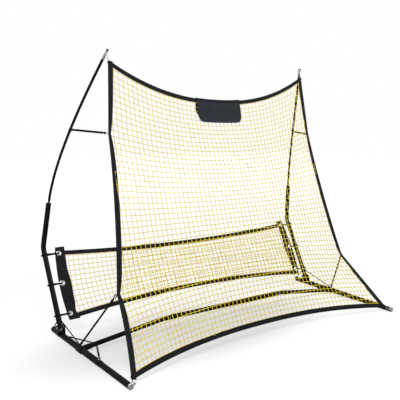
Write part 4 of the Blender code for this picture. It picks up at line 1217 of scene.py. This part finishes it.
def make_upper_strap(side):
    pole, tie, toward = strap_line(side)
    along_pole = mirrored(POLE_AT_STRAP, side)
    name = side_name(side) + "_upper_strap_"
    ball = tie - toward * BALL_TO_TIE
    hook_start, hook_end = tie - toward * HOOK_TO_TIE, ball - toward * STOP_BALL_RADIUS * 0.8
    start = pole + toward * (POLE_RADIUS + CORD_FROM_POLE)
    end = hook_start + toward * CORD_IN_HOOK
    path = straight(start, end, 12)
    collar = collar_piece(name + "loop", WEBBING, pole, along_pole, POLE_RADIUS, COLLAR_WIDTH,
                          COLLAR_THICKNESS)
    cord = cord_piece(name + "cord", path, STRAP_CORD_RADIUS, BLACK_CORD, along_pole)
    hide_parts(side_name(side) + "_upper_side_strap")
    hook_bm = start_mesh()
    reach = (hook_end - hook_start).length
    body = [(0.0, 0.0), (0.0048, 0.0), (0.0066, 0.002), (0.0074, reach * 0.35),
            (0.0052, reach * 0.7), (0.0030, reach), (0.0, reach)]
    spun(hook_bm, body, bead_place(hook_start, toward), 16)
    hook = finish_piece(name + "hook", hook_bm, PLASTIC)
    ball_bm = start_mesh()
    bmesh.ops.create_uvsphere(ball_bm, u_segments=20, v_segments=12, radius=STOP_BALL_RADIUS,
                              matrix=bead_place(ball, toward))
    stop = finish_piece(name + "ball", ball_bm, PLASTIC)
    link_start = ball + toward * (STOP_BALL_RADIUS - LINK_IN_BALL)
    link_end = tie - toward * LINK_TO_TIE
    link_line, facing = link_path(link_start, link_end, UPWARDS)
    link = cord_piece(name + "link", link_line, LINK_WIRE, PLATING, facing, ring=True)
    return [collar, cord, hook, stop, link]


upper_straps = {side: make_upper_strap(side) for side in SIDES}
print("upper straps:", {side_name(side): len(pieces) for side, pieces in upper_straps.items()})

# %% [markdown]
# ## Sleeves on the upper poles and their tip fittings
#
# Each pole wears a black heat-shrink sleeve in two lengths, one below and one above its
# strap, which protects the glass fibre. At the tip a plated wire bail goes through the
# eye, with two small dark rollers on top, so that the net's link can turn without rubbing.

# %% Dress the poles
SLEEVE_ON_POLE = 0.0016
SLEEVE_FROM_STRAP = 0.012
LOWER_ROUTE = [Vector(point) for point in (
    (1.01299, 0.49824, 0.8065), (1.00641, 0.48928, 0.8566), (0.99499, 0.4731, 0.92356),
    (0.98097, 0.45287, 0.99253), (0.9647, 0.42917, 1.06293), (0.94653, 0.40262, 1.13417),
    (0.9268, 0.3738, 1.20564))]
UPPER_ROUTE = [Vector(point) for point in (
    (0.90588, 0.34333, 1.27676), (0.88409, 0.31179, 1.34693), (0.8618, 0.2798, 1.41555),
    (0.83935, 0.24794, 1.48203), (0.81708, 0.21681, 1.54578), (0.79535, 0.18703, 1.6062))]
SLEEVE_TOP = UPPER_ROUTE[-1].lerp(Vector((0.7745, 0.15918, 1.6627)), 0.56)
TIP_EYE = Vector((0.76784, 0.15028, 1.68075))
TIP_DIRECTION = Vector((-0.31423, -0.41975, 0.85151))
TIP_ACROSS = Vector((0.80053, -0.59929, 0.0))
BAIL_RISE = 0.0135
BAIL_HALF = 0.0085
BAIL_WIRE = 0.0014
BAIL_SHAPE = ((-0.020, 1.35), (0.0, 1.1), (0.7 * BAIL_RISE, 1.0), (BAIL_RISE, 0.0),
              (0.7 * BAIL_RISE, -1.0), (0.0, -1.1), (-0.020, -1.35))
ROLLER_RADIUS = 0.0052
ROLLER_RISE = 0.82 * BAIL_RISE
ROLLER_OUT = 0.75 * BAIL_HALF
ROLLER_PROFILE = [(0.0, -0.0035), (ROLLER_RADIUS * 0.7, -0.0035), (ROLLER_RADIUS, -0.002),
                  (ROLLER_RADIUS, 0.002), (ROLLER_RADIUS * 0.7, 0.0035), (0.0, 0.0035)]


def dress_pole(side):
    name = side_name(side)
    above, below = (STRAP_ON_POLE + POLE_AT_STRAP * SLEEVE_FROM_STRAP * way for way in (1, -1))
    bm = start_mesh()
    for route in ([above] + UPPER_ROUTE + [SLEEVE_TOP], LOWER_ROUTE + [below]):
        path = smooth_path([mirrored(point, side) for point in route], 5)
        add_cord(bm, path, POLE_RADIUS + SLEEVE_ON_POLE, SIDEWAYS, sides=16)
    sleeve = finish_piece(name + "_pole_sleeve", bm, POLE_BLACK, 60.0)
    eye, up, across = (mirrored(v, side) for v in (TIP_EYE, TIP_DIRECTION, TIP_ACROSS))
    bail = smooth_path([eye + up * rise + across * BAIL_HALF * out for rise, out in BAIL_SHAPE], 5)
    wire = cord_piece(name + "_tip_bail", bail, BAIL_WIRE, PLATING, up.cross(across))
    roller_bm = start_mesh()
    for sign in SIDES:
        centre = eye + up * ROLLER_RISE + across * ROLLER_OUT * sign
        spun(roller_bm, ROLLER_PROFILE, bead_place(centre, across), 16)
    rollers = finish_piece(name + "_tip_rollers", roller_bm, PLASTIC)
    for piece in (sleeve, wire, rollers):
        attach(piece, name + "_upright")
    return sleeve, wire, rollers


dressed = [dress_pole(side) for side in SIDES]
print("poles dressed:", len(dressed))

# %% [markdown]
# ## Lower side straps
#
# A longer cord runs from an eye on each crossbar hub up to the lower tie. It ends in a
# triangular ring, whose flat side holds the gathered tape.

# %% Make the lower side straps
HUB_TOP = Vector((1.0240, 0.0125, 0.0385))
LOWER_CORD_RADIUS = 0.0054
RING_REACH = 0.040
RING_HALF_WIDTH = 0.011
RING_WIRE = 0.0026
HUB_EYE_RADIUS = 0.0070
HUB_EYE_WIRE = 0.0016
RING_OUT = 0.004
CORD_IN_RING = 0.006
EDGE_STEP = 0.02
KNOT_BEYOND = 0.010
LOWER_KNOT_RADIUS = 0.0078


def ring_path(corners, round_share=0.28, steps=5):
    path = []
    for i, corner in enumerate(corners):
        before, after = corners[i - 1], corners[(i + 1) % len(corners)]
        start, end = corner.lerp(before, round_share), corner.lerp(after, round_share)
        for step in range(steps + 1):
            t = step / steps
            path.append(start * (1 - t) ** 2 + corner * 2 * t * (1 - t) + end * t ** 2)
    return path


def make_lower_strap(side):
    name = side_name(side)
    tie = mirrored(LOWER_TIE, side) + Vector((side * RING_OUT, 0.0, 0.0))
    hub = mirrored(HUB_TOP, side)
    toward = (hub - tie).normalized()
    below, above = (edge_point(TIE_LEVELS[1] + step) for step in (-EDGE_STEP, EDGE_STEP))
    edge_way = mirrored(above - below, side)
    edge_way = (edge_way - toward * edge_way.dot(toward)).normalized()
    corners = [tie + edge_way * RING_HALF_WIDTH, tie + toward * RING_REACH,
               tie - edge_way * RING_HALF_WIDTH]
    ring = cord_piece(name + "_lower_strap_ring", ring_path(corners), RING_WIRE, PLASTIC,
                      edge_way.cross(toward), ring=True)
    start = hub + UPWARDS * HUB_EYE_RADIUS
    turn = circle(start, FORWARDS, UPWARDS, HUB_EYE_RADIUS, 20)
    eye = cord_piece(name + "_hub_eye", turn, HUB_EYE_WIRE, PAINT, SIDEWAYS, ring=True)
    end = tie + toward * (RING_REACH - CORD_IN_RING)
    path = straight(start, end, 40)
    cord = cord_piece(name + "_lower_strap_cord", path, LOWER_CORD_RADIUS, BLACK_CORD, SIDEWAYS)
    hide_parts(name + "_lower_side_strap")
    knot_bm = start_mesh()
    for place in (start - toward * KNOT_BEYOND, end + toward * KNOT_BEYOND):
        add_knot(knot_bm, place, toward, LOWER_KNOT_RADIUS)
    knots = finish_piece(name + "_lower_strap_knots", knot_bm, BLACK_CORD)
    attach(eye, "base_frame")
    return [ring, cord, knots], hub


lower_straps = {side: make_lower_strap(side) for side in SIDES}
print("lower straps:", len(lower_straps))

# %% [markdown]
# ## Stays of the uprights
#
# Two thin cords leave each lower leg: one to the hub in front of it and one to the rear
# end of the rail. Both are taut while the upright stands. When it folds, the front one
# gets shorter in the model and the rear one longer, where a real one can't stretch.

# %% Make the stay cords
STAY_CORD_RADIUS = 0.0033
STAY_HEIGHT = 0.052
STAY_CLEAR = 0.0003
BAND_WIDTH = 0.010
BAND_THICKNESS = 0.0016
STAY_HUB_END = Vector((1.0248, 0.0305, 0.0402))
STAY_RAIL_END = Vector((1.0400, 0.3965, 0.0365))


def make_stay(side, label, end, steps):
    name = side_name(side)
    front = 1.0 if label == "front" else -1.0
    clear = UPRIGHT_RADIUS + STAY_CORD_RADIUS + STAY_CLEAR
    start, end = leg_place(STAY_HEIGHT, side) + LEG_FRONT * front * clear, mirrored(end, side)
    path = straight(start, end, steps)
    cord = cord_piece(name + "_stay_cord_" + label, path, STAY_CORD_RADIUS, BLACK_CORD, SIDEWAYS)
    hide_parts(name + "_upright_stay_" + label)
    return cord, start, end


def leg_band(side):
    along = Vector((side * LEG_SPLAY, LEG_UP.y, LEG_UP.z))
    band = collar_piece(side_name(side) + "_stay_band", WEBBING, leg_place(STAY_HEIGHT, side),
                        along, UPRIGHT_RADIUS, BAND_WIDTH, BAND_THICKNESS)
    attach(band, side_name(side) + "_upright")
    return band


STAY_ENDS = (("front", STAY_HUB_END, 30), ("rear", STAY_RAIL_END, 12))
stays = {(side, label): make_stay(side, label, end, steps)
         for side in SIDES for label, end, steps in STAY_ENDS}
bands = [leg_band(side) for side in SIDES]
print("stay cords:", len(stays), "bands:", len(bands))

# %% [markdown]
# ## Sleeves on the crossbar braces
#
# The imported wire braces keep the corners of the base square. On the real frame each wire
# wears a thin black plastic sleeve, with a stop ring near its rail end, a pale one on the
# front wires. The sleeve is swept round the wire and leaves both bent ends bare.

# %% Sleeve the crossbar braces
BRACE_SLEEVE_RADIUS = 0.0036
BRACE_RING_RADIUS = 0.0056
BRACE_RING_WIDTH = 0.006
BRACE_RING_SHARE = 0.88
BRACE_BARE = 0.06
BRACE_ENDS = {"front": (Vector((0.9365, -0.0020, 0.0285)), Vector((0.9978, -0.1773, 0.0172))),
              "rear": (Vector((0.9365, 0.0270, 0.0285)), Vector((1.0154, 0.2353, 0.0172)))}


def sleeve_brace(side, label):
    name = side_name(side) + "_brace_" + label
    start, end = (mirrored(place, side) for place in BRACE_ENDS[label])
    path = straight(start.lerp(end, BRACE_BARE), start.lerp(end, 1 - BRACE_BARE), 8)
    sleeve = cord_piece(name + "_sleeve", path, BRACE_SLEEVE_RADIUS, PLASTIC)
    look = PALE_CORD if label == "front" else PLASTIC
    ring = collar_piece(name + "_stop_ring", look, start.lerp(end, BRACE_RING_SHARE), end - start,
                        BRACE_SLEEVE_RADIUS, BRACE_RING_WIDTH,
                        BRACE_RING_RADIUS - BRACE_SLEEVE_RADIUS)
    for piece in (sleeve, ring):
        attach(piece, "base_frame")
    return sleeve


brace_sleeves = [sleeve_brace(side, label) for side in SIDES for label in BRACE_ENDS]
print("brace sleeves:", len(brace_sleeves))

# %% [markdown]
# ## How the straps follow the fold
#
# A strap has one end on a body and the other on the bending net. So its blend starts and
# ends where it agrees with the net at the tie: the share of the way along the net's own
# blend is worked out there, and the strap's line is stretched to match. A stay simply
# blends from its end on the base to its end on the upright.

# %% Tie straps and stays to the bodies


def net_share(point):
    line = FOLD_END - FOLD_START
    return (Vector((0.0, point.y, point.z)) - FOLD_START).dot(line) / line.dot(line)


for side in SIDES:
    upright = side_name(side) + "_upright"
    pole, tie, _ = strap_line(side)
    start = pole + (tie - pole) / (1 - net_share(tie))
    for piece in upper_straps[side]:
        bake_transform(piece, "base_frame", upright, start, pole)
    pieces, hub = lower_straps[side]
    tie = mirrored(LOWER_TIE, side)
    end = hub + (tie - hub) / net_share(tie)
    for piece in pieces:
        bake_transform(piece, "base_frame", upright, hub, end)
    for label, _, _ in STAY_ENDS:
        cord, on_leg, on_base = stays[side, label]
        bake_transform(cord, "base_frame", upright, on_base, on_leg)
print("shares at the ties:", round(net_share(UPPER_TIE), 3), round(net_share(LOWER_TIE), 3))
